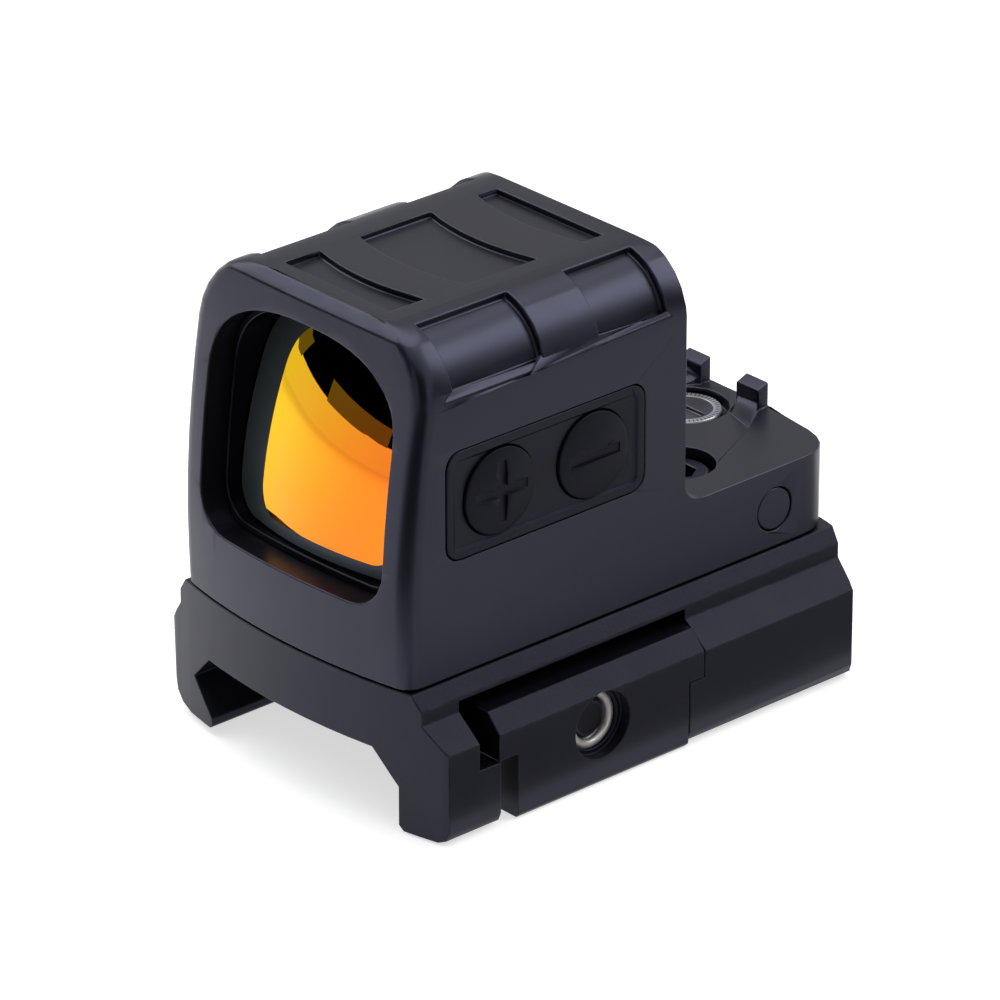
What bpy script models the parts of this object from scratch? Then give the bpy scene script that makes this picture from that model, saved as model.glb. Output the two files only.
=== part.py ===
"""Enclosed reflex sight on a cross-bolt rail clamp, as separate pieces at rest.

Frame: metres, +Z up, -Y the objective end, +X the keypad side. The origin is the
middle of the bounding box at its lowest plane. Sizes below are in millimetres.
"""

import math

import bmesh
import bpy

MM = 0.001

# Overall form
LENGTH = 41.8
HALF_WIDTH = 11.75
BASE_TOP = 10.65
SEAM_GAP = 0.12
DECK_Z = 16.8
TOP_Z = 35.4
HOOD_PAST = 5.5
EDGE_RADIUS = 4.9
FRONT_BULGE = 1.3
TOP_BULGE = 0.2
REAR_BULGE = 1.2
RAKE = 3.05
RAKE_START = 13.4
RAKE_POWER = 1.8
FRONT_CORNER = 1.2
REAR_CORNER = 3.0
TOP_CHAMFER = 0.7
REAR_CHAMFER = 0.35
DECK_FILLET = 1.5

# Clearances
SEAT = 0.05
FIT = 0.08
RUN = 0.08
SLIDE = 0.3

# Objective window
WINDOW_HALF = 9.4
WINDOW_BOTTOM = 16.0
WINDOW_SPRING = 27.5
WINDOW_TOP = 33.25
WINDOW_RADIUS = 2.9
ARCH_POWER = 2.5
RETAINER_DEPTH = 2.0
RETAINER_WALL = 0.45
LENS_DEPTH = 3.7
LENS_LEAN = 0.3
LENS_RADIUS = 27.0
LENS_THICK = 1.5
SEAL_THICK = 0.35
SHOULDER = 0.85

# Rear window
REAR_HALF = 8.9
REAR_BOTTOM = 18.9
REAR_TOP = 32.7
REAR_LOW_RADIUS = 2.0
REAR_HIGH_RADIUS = 5.2
REAR_POCKET = 2.2
REAR_GLASS = 1.5
REAR_LEDGE = 0.7

# Top pockets and edge recesses
POCKET_DEPTH = 0.45
POCKET_HALF = 5.4
POCKET_BOW = 0.8
POCKETS = ((5.35, 3.05), (11.95, 6.4), (22.6, 1.75))
SCALLOP_DEPTH = 0.55
SCALLOP_LOW_DEG = 12.0
SCALLOP_HIGH_DEG = 78.0
SCALLOPS = ((5.35, 8.0), (18.45, 6.1))

# Steps in which the lens surfaces are drawn in towards their axis
SHARES = (1.0, 0.8, 0.6, 0.4, 0.2)

# Keypad
KEYPAD_FRONT = 4.55
KEYPAD_LENGTH = 18.0
KEYPAD_BOTTOM = 19.2
KEYPAD_HEIGHT = 8.1
KEYPAD_RADIUS = 1.3
KEYPAD_RECESS = 1.6
KEYPAD_RIM = 0.75
KEYPAD_FIELD = 0.15
KEYPAD_THICK = 0.5
BUTTON_RADIUS = 3.12
BUTTON_PITCH = 8.4
BUTTON_EDGE = 0.08
BUTTON_CROWN = 0.35
BUTTON_FLANGE = 0.35
BUTTON_TRAVEL = 0.25
SIGN_LENGTH = 4.5
SIGN_WIDTH = 0.72
SIGN_DEPTH = 0.28
FLEX_THICK = 0.2
DOME_RADIUS = 1.6
DOME_HEIGHT = 0.22

# Rear deck
DIAL_FROM_REAR = 4.3
DIAL_RADIUS = 2.6
DIAL_BORE = 3.05
DIAL_THICK = 0.55
DIAL_SUNK = 0.25
DIAL_SHAFT = 1.15
RING_TUBE = 0.26
POST_INNER = 1.8
POST_WIDTH = 2.3
POST_HEIGHT = 1.9
POST_THICK = 1.0
RAMP_LENGTH = 2.2
RAMP_FLARE = 1.6
RAMP_HEIGHT = 0.7
SCREW_FROM_SIDE = 5.15
SCREW_GAP = 4.35
SCREW_HEAD = 2.3
SCREW_BORE = 2.6
SCREW_SHAFT = 1.45
SCREW_HEAD_THICK = 1.9
SCREW_HEAD_SUNK = 0.6
PLUG_RADIUS = 1.6
PLUG_THICK = 1.1

# Adjuster block and light source
CAVITY_HALF = 3.7
CAVITY_FRONT = 18.9
CAVITY_REAR = 1.7
CAVITY_TOP = 14.8
PLATE_THICK = 0.6
PLATE_RIM = 0.9
BOARD_THICK = 0.7
ADJUST_Z = 13.65
ADJUST_TRAVEL = 0.25
ARM_HALF = 1.6
ARM_THICK = 0.9
BLOCK_LENGTH = 2.4
BLOCK_WALL = 1.2
BLOCK_FLOOR = 0.5
WINDAGE_SHAFT = 0.7
WINDAGE_HEAD = 2.2
SPRING_RADIUS = 1.1
SPRING_WIRE = 0.16
SPRING_TURNS = 7
TOWER_HALF = 1.4
TOWER_THICK = 1.2
TOWER_TOP = 18.7

# Battery drawer
CELL_RADIUS = 6.25
CELL_THICK = 2.5
TRAY_FRONT = 3.75
TRAY_WALL = 0.55
TRAY_FLOOR = 0.55
TRAY_FACE = 1.0
TRAY_BOTTOM = 11.4
TRAY_LUG = 2.6
CONTACT_THICK = 0.2

# Rail clamp base
RAIL_HALF = 10.6
RAIL_PLAY = 0.15
UNDERSIDE = 5.75
NEAR_FACE = 14.75
FAR_FACE = 13.9
LEG_LIFT = 0.15
HOOK_LIFT = 0.5
GROOVE_DEPTH = 2.05
TIP_HALF = 8.4
BASE_CORNER = 1.6
LEDGE_OUT = 0.9
SLOPE_Z = 6.9
JAW_FRONT = 6.65
JAW_LENGTH = 18.9
JAW_WING = 1.7
JAW_SPLIT = 4.95
JAW_TOP = 8.25
JAW_DEPTH = 3.95
JAW_GAP = 1.75
POCKET_TOP = 9.3
BOLT_Z = 4.46
BOLT_RADIUS = 1.9
BOLT_THREAD = 1.5
BOLT_HEAD = 3.0
BOLT_HEAD_THICK = 2.35
INSERT_RADIUS = 2.08
INSERT_SUNK = 0.95
INSERT_LENGTH = 2.8
HOLE_RADIUS = 2.5
PIN_RADIUS = 0.9
PIN_SPREAD = 6.6
PIN_Z = 6.6
GASKET_THICK = 0.4
GASKET_INSET = 2.6

# Values that follow from the sizes above
FRONT_Y = -LENGTH / 2
REAR_Y = LENGTH / 2
BOTTOM_Z = BASE_TOP + SEAM_GAP
HOOD_LENGTH = LENGTH / 2 + HOOD_PAST
HOOD_REAR = FRONT_Y + HOOD_LENGTH
LENS_Z = (WINDOW_BOTTOM + WINDOW_TOP) / 2
SEAL_BACK = LENS_THICK + SEAT
SEAT_BACK = SEAL_BACK + SEAL_THICK + SEAT
REAR_SEAT = HOOD_REAR - REAR_POCKET
KEYPAD_Y = FRONT_Y + KEYPAD_FRONT + KEYPAD_LENGTH / 2
KEYPAD_Z = KEYPAD_BOTTOM + KEYPAD_HEIGHT / 2
RECESS_X = HALF_WIDTH - KEYPAD_RECESS
DIAL_Y = REAR_Y - DIAL_FROM_REAR
WINDAGE_Y = DIAL_Y - 2.55
SCREW_X = HALF_WIDTH - SCREW_FROM_SIDE
SCREW_Y = WINDAGE_Y - SCREW_GAP
CAVITY_Y0 = FRONT_Y + CAVITY_FRONT
CAVITY_Y1 = REAR_Y - CAVITY_REAR
BOARD_Z = BOTTOM_Z + SEAT + PLATE_THICK + SEAT
ARM_Z = ADJUST_Z - ARM_THICK / 2
TRAY_Y = FRONT_Y + TRAY_FRONT + TRAY_WALL + FIT + CELL_RADIUS
CELL_X = -HALF_WIDTH + TRAY_FACE + TRAY_WALL + CELL_RADIUS + FIT
BOLT_Y = FRONT_Y + JAW_FRONT + JAW_LENGTH / 2
JAW_Y0 = FRONT_Y + JAW_FRONT
JAW_Y1 = JAW_Y0 + JAW_LENGTH
JAW_INNER = NEAR_FACE - JAW_DEPTH
GROOVE_X = RAIL_HALF + RAIL_PLAY
GROOVE_Z = UNDERSIDE - GROOVE_DEPTH
TIP_Z = GROOVE_Z - GROOVE_X + TIP_HALF


def clear_scene():
    """Empties the scene, then makes the two collections."""
    for old in list(bpy.data.objects):
        bpy.data.objects.remove(old, do_unlink=True)
    scene = bpy.context.scene
    scene.unit_settings.system = "METRIC"
    parts = bpy.data.collections.new("reflex_sight")
    cutters = bpy.data.collections.new("cutters")
    scene.collection.children.link(parts)
    scene.collection.children.link(cutters)
    cutters.hide_render = True
    return parts, cutters


PARTS, CUTTERS = clear_scene()


def paint(obj, colour, metallic=0.0, roughness=0.5):
    """Gives an object a material of its own."""
    material = bpy.data.materials.new(obj.name)
    material.use_nodes = True
    shader = material.node_tree.nodes["Principled BSDF"]
    shader.inputs["Base Color"].default_value = (*colour, 1.0)
    shader.inputs["Metallic"].default_value = metallic
    shader.inputs["Roughness"].default_value = roughness
    obj.data.materials.append(material)
    return obj


def solid(name, points, faces, collection=None):
    """Makes an object from points in millimetres, with its faces turned outwards."""
    mesh = bpy.data.meshes.new(name)
    mesh.from_pydata([(x * MM, y * MM, z * MM) for x, y, z in points], [], faces)
    form = bmesh.new()
    form.from_mesh(mesh)
    bmesh.ops.recalc_face_normals(form, faces=form.faces)
    form.to_mesh(mesh)
    form.free()
    obj = bpy.data.objects.new(name, mesh)
    (collection or PARTS).objects.link(obj)
    if collection is CUTTERS:
        obj.hide_render = True
        obj.display_type = "WIRE"
    return obj


def loft(name, rings, collection=None):
    """Skins rings with the same number of points and caps both ends."""
    count = len(rings[0])
    points = [point for ring in rings for point in ring]
    faces = [list(range(count)), list(range(len(points) - count, len(points)))]
    for row in range(len(rings) - 1):
        for i in range(count):
            j = (i + 1) % count
            a = row * count
            faces.append((a + i, a + j, a + count + j, a + count + i))
    return solid(name, points, faces, collection)


def along(axis, u, v, w):
    """Turns a flat point (u, v) at depth w along an axis into (x, y, z)."""
    if axis == "X":
        return (w, u, v)
    if axis == "Y":
        return (u, w, v)
    return (u, v, w)


def prism(name, outline, axis, low, high, collection=None):
    """Extrudes a flat outline along an axis."""
    rings = [[along(axis, u, v, w) for u, v in outline] for w in (low, high)]
    return loft(name, rings, collection)


def box(name, x, y, z, collection=None):
    """Makes a box from (low, high) pairs."""
    outline = ((x[0], y[0]), (x[1], y[0]), (x[1], y[1]), (x[0], y[1]))
    return prism(name, outline, "Z", z[0], z[1], collection)


def arc(cu, cv, radius, start, end, steps):
    """Points on an arc, angles in degrees."""
    return [
        (
            cu + radius * math.cos(math.radians(start + (end - start) * i / steps)),
            cv + radius * math.sin(math.radians(start + (end - start) * i / steps)),
        )
        for i in range(steps + 1)
    ]


def circle(cu, cv, radius, steps=32):
    """Points on a full circle."""
    return arc(cu, cv, radius, 0, 360 - 360 / steps, steps - 1)


def disc(name, axis, centre, radius, low, high, collection=None, steps=32):
    """Makes a cylinder along an axis."""
    return prism(name, circle(*centre, radius, steps), axis, low, high, collection)


def turned(name, axis, centre, profile, steps=32):
    """Stacks circles given as (depth, radius) pairs along an axis."""
    rings = []
    for depth, radius in profile:
        rings.append([along(axis, u, v, depth) for u, v in circle(*centre, radius, steps)])
    return loft(name, rings)


def torus(name, axis, centre, depth, radius, tube, steps=32, sides=8):
    """Makes a ring of round section about an axis."""
    points = []
    faces = []
    for i in range(steps):
        turn = 2 * math.pi * i / steps
        for j in range(sides):
            roll = 2 * math.pi * j / sides
            reach = radius + tube * math.cos(roll)
            u = centre[0] + reach * math.cos(turn)
            v = centre[1] + reach * math.sin(turn)
            points.append(along(axis, u, v, depth + tube * math.sin(roll)))
            a = i * sides
            b = (i + 1) % steps * sides
            k = (j + 1) % sides
            faces.append((a + j, b + j, b + k, a + k))
    return solid(name, points, faces)


def rounded(u0, u1, v0, v1, low, high=None, inset=0.0, steps=6):
    """A rectangle with one corner radius below and one above."""
    high = low if high is None else high
    u0, u1, v0, v1 = u0 + inset, u1 - inset, v0 + inset, v1 - inset
    low = max(low - inset, 0.2)
    high = max(high - inset, 0.2)
    return (
        arc(u1 - low, v0 + low, low, -90, 0, steps)
        + arc(u1 - high, v1 - high, high, 0, 90, steps)
        + arc(u0 + high, v1 - high, high, 90, 180, steps)
        + arc(u0 + low, v0 + low, low, 180, 270, steps)
    )


def bore(obj, cutter, operation="DIFFERENCE"):
    """Cuts a cutter from an object, or joins it."""
    step = obj.modifiers.new(cutter.name, "BOOLEAN")
    step.operation = operation
    step.solver = "EXACT"
    step.object = cutter
    return obj


def drill(obj, name, axis, centre, radius, low, high, steps=32):
    """Cuts a round hole along an axis."""
    return bore(obj, disc(name, axis, centre, radius, low, high, CUTTERS, steps))


def mill(obj, name, x, y, z):
    """Cuts a box."""
    return bore(obj, box(name, x, y, z, CUTTERS))


def window(inset=0.0):
    """Outline of the objective window in X and Z: round lower corners under an arch."""
    half = WINDOW_HALF - inset
    low = WINDOW_BOTTOM + inset
    rise = WINDOW_TOP - inset - WINDOW_SPRING
    radius = WINDOW_RADIUS - inset
    side = [low + radius + (WINDOW_SPRING - low - radius) * i / 4 for i in range(1, 4)]
    points = [(-half + radius + (half - radius) * i / 3, low) for i in range(1, 6)]
    points += arc(half - radius, low + radius, radius, -90, 0, 6)
    points += [(half, z) for z in side]
    for i in range(25):
        turn = math.pi * i / 24
        across = math.copysign(abs(math.cos(turn)) ** (2 / ARCH_POWER), math.cos(turn))
        points.append((half * across, WINDOW_SPRING + rise * abs(math.sin(turn)) ** (2 / ARCH_POWER)))
    points += [(-half, z) for z in side[::-1]]
    points += arc(-half + radius, low + radius, radius, 180, 270, 6)
    return points


def rear_window(inset=0.0):
    """Outline of the rear window in X and Z."""
    return rounded(
        -REAR_HALF, REAR_HALF, REAR_BOTTOM, REAR_TOP,
        REAR_LOW_RADIUS, REAR_HIGH_RADIUS, inset,
    )


def keypad(inset=0.0):
    """Outline of the keypad in Y and Z."""
    return rounded(
        KEYPAD_Y - KEYPAD_LENGTH / 2, KEYPAD_Y + KEYPAD_LENGTH / 2,
        KEYPAD_BOTTOM, KEYPAD_BOTTOM + KEYPAD_HEIGHT, KEYPAD_RADIUS, None, inset,
    )


def front_y(x, z):
    """Where the raked, bowed front face lies."""
    rise = max(0.0, (z - RAKE_START) / (TOP_Z - TOP_CHAMFER - RAKE_START))
    share = (z - BOTTOM_Z) / (TOP_Z - BOTTOM_Z)
    bulge = FRONT_BULGE + (TOP_BULGE - FRONT_BULGE) * max(share, 0.0)
    chamfer = max(0.0, z - TOP_Z + TOP_CHAMFER)
    return FRONT_Y + RAKE * rise**RAKE_POWER + bulge * (x / HALF_WIDTH) ** 2 + chamfer


def lens_y(x, z):
    """Where the leaning, bowed front of the objective lens lies."""
    up = z - LENS_Z
    return FRONT_Y + LENS_DEPTH + LENS_LEAN * up + (x * x + up * up) / (2 * LENS_RADIUS)


def lens_ring(outline, back, share=1.0):
    """An outline drawn in towards the lens axis and laid some way behind the lens front."""
    ring = []
    for x, z in outline:
        u, v = x * share, LENS_Z + (z - LENS_Z) * share
        ring.append((u, lens_y(u, v) + back, v))
    return ring


def rim(name, outer, inner, front, rear):
    """A ring between two outlines whose ends follow two surfaces along Y."""
    points = [(x, front(x, z), z) for x, z in outer]
    points += [(x, rear(x, z), z) for x, z in outer]
    points += [(x, rear(x, z), z) for x, z in inner]
    points += [(x, front(x, z), z) for x, z in inner]
    count = len(outer)
    faces = []
    for row in range(4):
        a = row * count
        b = (row + 1) % 4 * count
        for i in range(count):
            j = (i + 1) % count
            faces.append((a + i, a + j, b + j, b + i))
    return solid(name, points, faces)


def rear_y(x):
    """Where the bowed rear face lies."""
    return REAR_Y - REAR_BULGE * (x / HALF_WIDTH) ** 2


def bend(start, corner, end, steps):
    """Rounds a corner with a quadratic curve, leaving out its last point."""
    points = []
    for i in range(steps):
        t = i / steps
        a, b, c = (1 - t) ** 2, 2 * t * (1 - t), t * t
        points.append(tuple(a * s + b * k + c * e for s, k, e in zip(start, corner, end)))
    return points


def plan(right, left, z, front_radius, rear_radius):
    """Outline seen from above, between two side planes."""
    points = []
    span = right + left - 2 * front_radius
    for i in range(14):
        x = -left + front_radius + span * i / 14
        points.append((x, front_y(x, z)))
    points += bend(
        (right - front_radius, front_y(right - front_radius, z)),
        (right, front_y(right, z)),
        (right, front_y(right, z) + front_radius), 4,
    )
    points.append((right, front_y(right, z) + front_radius))
    points += bend(
        (right, rear_y(right) - rear_radius),
        (right, rear_y(right)),
        (right - rear_radius, rear_y(right - rear_radius)), 5,
    )
    span = right + left - 2 * rear_radius
    for i in range(8):
        x = right - rear_radius - span * i / 8
        points.append((x, rear_y(x)))
    points += bend(
        (-left + rear_radius, rear_y(-left + rear_radius)),
        (-left, rear_y(left)),
        (-left, rear_y(left) - rear_radius), 5,
    )
    points.append((-left, rear_y(left) - rear_radius))
    points += bend(
        (-left, front_y(left, z) + front_radius),
        (-left, front_y(left, z)),
        (-left + front_radius, front_y(-left + front_radius, z)), 4,
    )
    return points


def hood_width(z):
    """Half width at a height, narrowing round the top edges."""
    up = max(0.0, z - TOP_Z + EDGE_RADIUS)
    return HALF_WIDTH - EDGE_RADIUS + math.sqrt(max(EDGE_RADIUS**2 - up**2, 0.0))


def housing_shell():
    """Outer form: a lofted body with its upper rear cut away to the deck."""
    side_top = TOP_Z - EDGE_RADIUS
    heights = [BOTTOM_Z, RAKE_START]
    heights += [RAKE_START + (side_top - RAKE_START) * i / 6 for i in range(1, 7)]
    for angle in (14, 28, 42, 56, 66, 76, 90):
        heights.append(side_top + EDGE_RADIUS * math.sin(math.radians(angle)))
    heights.append(TOP_Z - TOP_CHAMFER)
    rings = []
    for z in sorted(heights):
        wide = hood_width(z)
        outline = plan(wide, wide, z, FRONT_CORNER, REAR_CORNER)
        rings.append([(x, y, z) for x, y in outline])
    body = loft("housing", rings)
    corner = arc(HOOD_REAR + DECK_FILLET, DECK_Z + DECK_FILLET, DECK_FILLET, 270, 180, 6)
    side = (
        [(REAR_Y + 5, DECK_Z)] + corner
        + [
            (HOOD_REAR, TOP_Z - REAR_CHAMFER),
            (HOOD_REAR - REAR_CHAMFER - 1, TOP_Z + 1),
            (HOOD_REAR - REAR_CHAMFER - 1, TOP_Z + 3),
            (REAR_Y + 5, TOP_Z + 3),
        ]
    )
    return bore(body, prism("cut_deck", side, "X", -HALF_WIDTH - 5, HALF_WIDTH + 5, CUTTERS))


def add_posts(body):
    """Joins the two rear sight posts and their swept feet to the deck."""
    front = REAR_Y - POST_THICK - 0.2
    for side, tag in ((1, "left"), (-1, "right")):
        inner = side * POST_INNER
        outer = side * (POST_INNER + POST_WIDTH)
        shape = (
            (front, DECK_Z - 0.6),
            (REAR_Y - 0.2, DECK_Z - 0.6),
            (REAR_Y - 0.2, DECK_Z + POST_HEIGHT),
            (front, DECK_Z + POST_HEIGHT - 0.4),
        )
        post = prism(f"join_post_{tag}", shape, "X", min(inner, outer), max(inner, outer), CUTTERS)
        bore(body, post, "UNION")
        rings = []
        for i in range(6):
            turn = math.radians(90 * i / 5)
            ahead = RAMP_LENGTH * (1 - math.cos(turn))
            high = DECK_Z + 0.02 + RAMP_HEIGHT * (1 - math.sin(turn))
            flare = side * RAMP_FLARE * (1 - math.cos(turn))
            y = front + 0.1 - ahead
            inside = inner + side * 0.1 + 0.7 * flare
            outside = outer - side * 0.1 + flare
            skew = 0.35 * (1 - math.cos(turn))
            rings.append([
                (inside, y + skew, DECK_Z - 0.5),
                (outside, y - skew, DECK_Z - 0.5),
                (outside, y - skew, high),
                (inside, y + skew, high),
            ])
        bore(body, loft(f"join_ramp_{tag}", rings, CUTTERS), "UNION")
    return body


def cut_top(body):
    """Sinks the three bowed top pockets and the four edge recesses."""
    for index, (start, length) in enumerate(POCKETS):
        y0 = FRONT_Y + start
        y1 = y0 + length
        bowed = POCKET_BOW if index < 2 else 0.0
        near = []
        far = []
        for i in range(9):
            share = i / 4 - 1
            bow = POCKET_BOW * (1 - share * share)
            near.append((POCKET_HALF * share, y0 - bow * (1 if index else 0)))
            far.append((POCKET_HALF * share, y1 - bowed * (1 - share * share)))
        outline = near + far[::-1]
        bore(body, prism(f"cut_pocket_{index}", outline, "Z", TOP_Z - POCKET_DEPTH, TOP_Z + 2, CUTTERS))
    cu = HALF_WIDTH - EDGE_RADIUS
    cv = TOP_Z - EDGE_RADIUS
    for index, (start, length) in enumerate(SCALLOPS):
        for side in (1, -1):
            low, high = SCALLOP_LOW_DEG, SCALLOP_HIGH_DEG
            ring = arc(cu, cv, EDGE_RADIUS - SCALLOP_DEPTH, low, high, 8)
            ring += arc(cu, cv, EDGE_RADIUS + 1.5, high, low, 8)
            outline = [(side * u, v) for u, v in ring]
            y0 = FRONT_Y + start
            y1 = y0 + length
            bore(body, prism(f"cut_grip_{index}_{side}", outline, "Y", y0, y1, CUTTERS))
    return body


def cut_optics(body):
    """Opens the objective recess, the light tunnel and the rear window."""
    rings = [[(x, FRONT_Y - 3, z) for x, z in window()]]
    rings += [lens_ring(window(), SEAT_BACK, share) for share in SHARES]
    bore(body, loft("cut_window", rings, CUTTERS))
    tunnel_end = REAR_SEAT - REAR_LEDGE
    rings = [[(x, tunnel_end, z) for x, z in window(SHOULDER)]]
    rings += [lens_ring(window(SHOULDER), LENS_THICK / 2, share) for share in SHARES]
    bore(body, loft("cut_tunnel", rings, CUTTERS))
    bore(body, prism("cut_rear_seat", rear_window(), "Y", REAR_SEAT, HOOD_REAR + 2, CUTTERS))
    inner = rear_window(REAR_LEDGE)
    bore(body, prism("cut_rear_light", inner, "Y", tunnel_end - 1, REAR_SEAT + 1, CUTTERS))
    return body


def cut_controls(body):
    """Sinks the keypad recess, the dial seats, the plug bore and the screw bores."""
    bore(body, prism("cut_keypad", keypad(), "X", RECESS_X, HALF_WIDTH + 3, CUTTERS))
    seat = DECK_Z - DIAL_SUNK - DIAL_THICK - SEAT
    centre = (0.0, DIAL_Y)
    drill(body, "cut_dial", "Z", centre, DIAL_BORE, seat, DECK_Z + 2)
    groove = seat - 2 * RING_TUBE - 2 * SEAT
    ring = DIAL_SHAFT + 2 * RING_TUBE + 3 * FIT
    drill(body, "cut_dial_ring", "Z", centre, ring, groove, seat + 1)
    drill(body, "cut_dial_shaft", "Z", centre, DIAL_SHAFT + RUN, CAVITY_TOP - 1, groove + 1, 24)
    side = (WINDAGE_Y, ADJUST_Z)
    far = -HALF_WIDTH
    head = far + DIAL_SUNK + DIAL_THICK + SEAT
    drill(body, "cut_windage", "X", side, WINDAGE_HEAD + 0.3, far - 2, head)
    groove = head + 2 * RING_TUBE + 2 * SEAT
    ring = WINDAGE_SHAFT + 2 * RING_TUBE + 3 * FIT
    drill(body, "cut_windage_ring", "X", side, ring, head - 1, groove, 24)
    drill(body, "cut_windage_shaft", "X", side, WINDAGE_SHAFT + RUN, groove - 1, -CAVITY_HALF + 1, 24)
    plug_seat = HALF_WIDTH - PLUG_THICK - SEAT
    drill(body, "cut_plug", "X", side, PLUG_RADIUS + SEAT, plug_seat, HALF_WIDTH + 2, 28)
    spring = SPRING_RADIUS + SPRING_WIRE + RUN
    drill(body, "cut_spring", "X", side, spring, CAVITY_HALF - 1, plug_seat + 1, 24)
    for side, tag in ((1, "left"), (-1, "right")):
        centre = (side * SCREW_X, SCREW_Y)
        floor = DECK_Z - SCREW_HEAD_SUNK - SCREW_HEAD_THICK - SEAT
        drill(body, f"cut_head_{tag}", "Z", centre, SCREW_BORE, floor, DECK_Z + 2)
        drill(body, f"cut_shaft_{tag}", "Z", centre, SCREW_SHAFT + RUN, BOTTOM_Z - 2, floor + 1, 24)
    return body


def cut_inside(body):
    """Opens the adjuster cavity from below and the battery pocket from the far side."""
    plate = PLATE_THICK + 2 * SEAT
    rim = CAVITY_HALF + PLATE_RIM
    span = (CAVITY_Y0 - PLATE_RIM, CAVITY_Y1 + PLATE_RIM)
    mill(body, "cut_plate", (-rim, rim), span, (BOTTOM_Z - 2, BOTTOM_Z + plate))
    half = (-CAVITY_HALF, CAVITY_HALF)
    deep = (BOTTOM_Z - 1, CAVITY_TOP)
    mill(body, "cut_cavity", half, (CAVITY_Y0, CAVITY_Y1), deep)
    slot = TOWER_HALF + 2 * SLIDE
    reach = (CAVITY_Y0, CAVITY_Y0 + TOWER_THICK + 6 * SLIDE)
    mill(body, "cut_tower", (-slot, slot), reach, (CAVITY_TOP - 1, WINDOW_BOTTOM + SHOULDER + 1))
    wide = CELL_RADIUS + FIT + TRAY_WALL + FIT
    end = CELL_X + CELL_RADIUS + FIT + TRAY_WALL + SLIDE + CONTACT_THICK + SEAT
    top = TRAY_BOTTOM + TRAY_FLOOR + SEAT + CELL_THICK + SLIDE + CONTACT_THICK + SEAT
    pocket = (TRAY_BOTTOM - FIT, top)
    across = (TRAY_Y - wide, TRAY_Y + wide)
    mill(body, "cut_tray", (-HALF_WIDTH - 2, end), across, pocket)
    lug = (TRAY_Y + wide - 1, TRAY_Y + wide + TRAY_LUG)
    face = -HALF_WIDTH + TRAY_FACE + SEAT
    mill(body, "cut_lug", (-HALF_WIDTH - 2, face), lug, pocket)
    middle = (pocket[0] + pocket[1]) / 2
    hole = (TRAY_Y + wide + TRAY_LUG / 2, middle)
    drill(body, "cut_tray_screw", "X", hole, 0.5 + FIT, face - 1, face + 3.2, 16)
    return body


def make_housing():
    """The one-piece housing."""
    body = housing_shell()
    add_posts(body)
    cut_top(body)
    cut_optics(body)
    cut_controls(body)
    cut_inside(body)
    return paint(body, (0.03, 0.032, 0.036), 0.6, 0.45)


def make_optics():
    """Objective lens with its retainer and seal, then the rear window and its bezel."""
    retainer = rim(
        "lens_retainer", window(FIT), window(FIT + RETAINER_WALL),
        lambda x, z: front_y(x, z) + RETAINER_DEPTH, lambda x, z: lens_y(x, z) - SEAT,
    )
    paint(retainer, (0.015, 0.015, 0.018), 0.2, 0.3)
    rings = [lens_ring(window(FIT), LENS_THICK, share) for share in SHARES[::-1]]
    rings += [lens_ring(window(FIT), 0.0, share) for share in SHARES]
    paint(loft("objective_lens", rings), (0.9, 0.4, 0.05), 0.0, 0.05)
    seal = rim(
        "lens_seal", window(2 * FIT), window(SHOULDER),
        lambda x, z: lens_y(x, z) + SEAL_BACK, lambda x, z: lens_y(x, z) + SEAL_BACK + SEAL_THICK,
    )
    paint(seal, (0.02, 0.02, 0.02), 0.0, 0.8)
    y0 = REAR_SEAT + SEAT
    glass = prism("rear_window", rear_window(FIT), "Y", y0, y0 + REAR_GLASS)
    paint(glass, (0.8, 0.9, 0.9), 0.0, 0.05)
    y0 += REAR_GLASS + SEAT
    y1 = HOOD_REAR - 0.2
    bezel = prism("rear_bezel", rear_window(FIT), "Y", y0, y1)
    inner = rear_window(FIT + REAR_LEDGE)
    bore(bezel, prism("cut_bezel", inner, "Y", y0 - 1, y1 + 1, CUTTERS))
    paint(bezel, (0.02, 0.02, 0.022), 0.2, 0.4)


def make_keypad():
    """Rubber keypad, two buttons with their signs, the flexible board and two domes."""
    outer = HALF_WIDTH + 0.02
    inner = outer - KEYPAD_THICK
    pad = prism("keypad", keypad(FIT), "X", inner, outer)
    bore(pad, prism("cut_field", keypad(KEYPAD_RIM), "X", outer - KEYPAD_FIELD, outer + 1, CUTTERS))
    paint(pad, (0.022, 0.022, 0.026), 0.0, 0.7)
    flex = prism("keypad_flex", keypad(0.6), "X", RECESS_X + SEAT, RECESS_X + SEAT + FLEX_THICK)
    paint(flex, (0.45, 0.25, 0.05), 0.0, 0.5)
    for side, tag in ((-1, "plus"), (1, "minus")):
        centre = (KEYPAD_Y + side * BUTTON_PITCH / 2, KEYPAD_Z)
        hole = BUTTON_RADIUS + RUN
        drill(pad, f"cut_{tag}", "X", centre, hole, inner - 1, outer + 1, 40)
        base = RECESS_X + 2 * SEAT + FLEX_THICK
        cap = (
            (base, DOME_RADIUS),
            (base + 0.5 * DOME_HEIGHT, 0.85 * DOME_RADIUS),
            (base + DOME_HEIGHT, 0.4 * DOME_RADIUS),
        )
        paint(turned(f"{tag}_dome", "X", centre, cap, 24), (0.7, 0.7, 0.72), 1.0, 0.3)
        make_button(tag, centre, base + DOME_HEIGHT + SEAT + BUTTON_TRAVEL, inner - SEAT)


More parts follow.
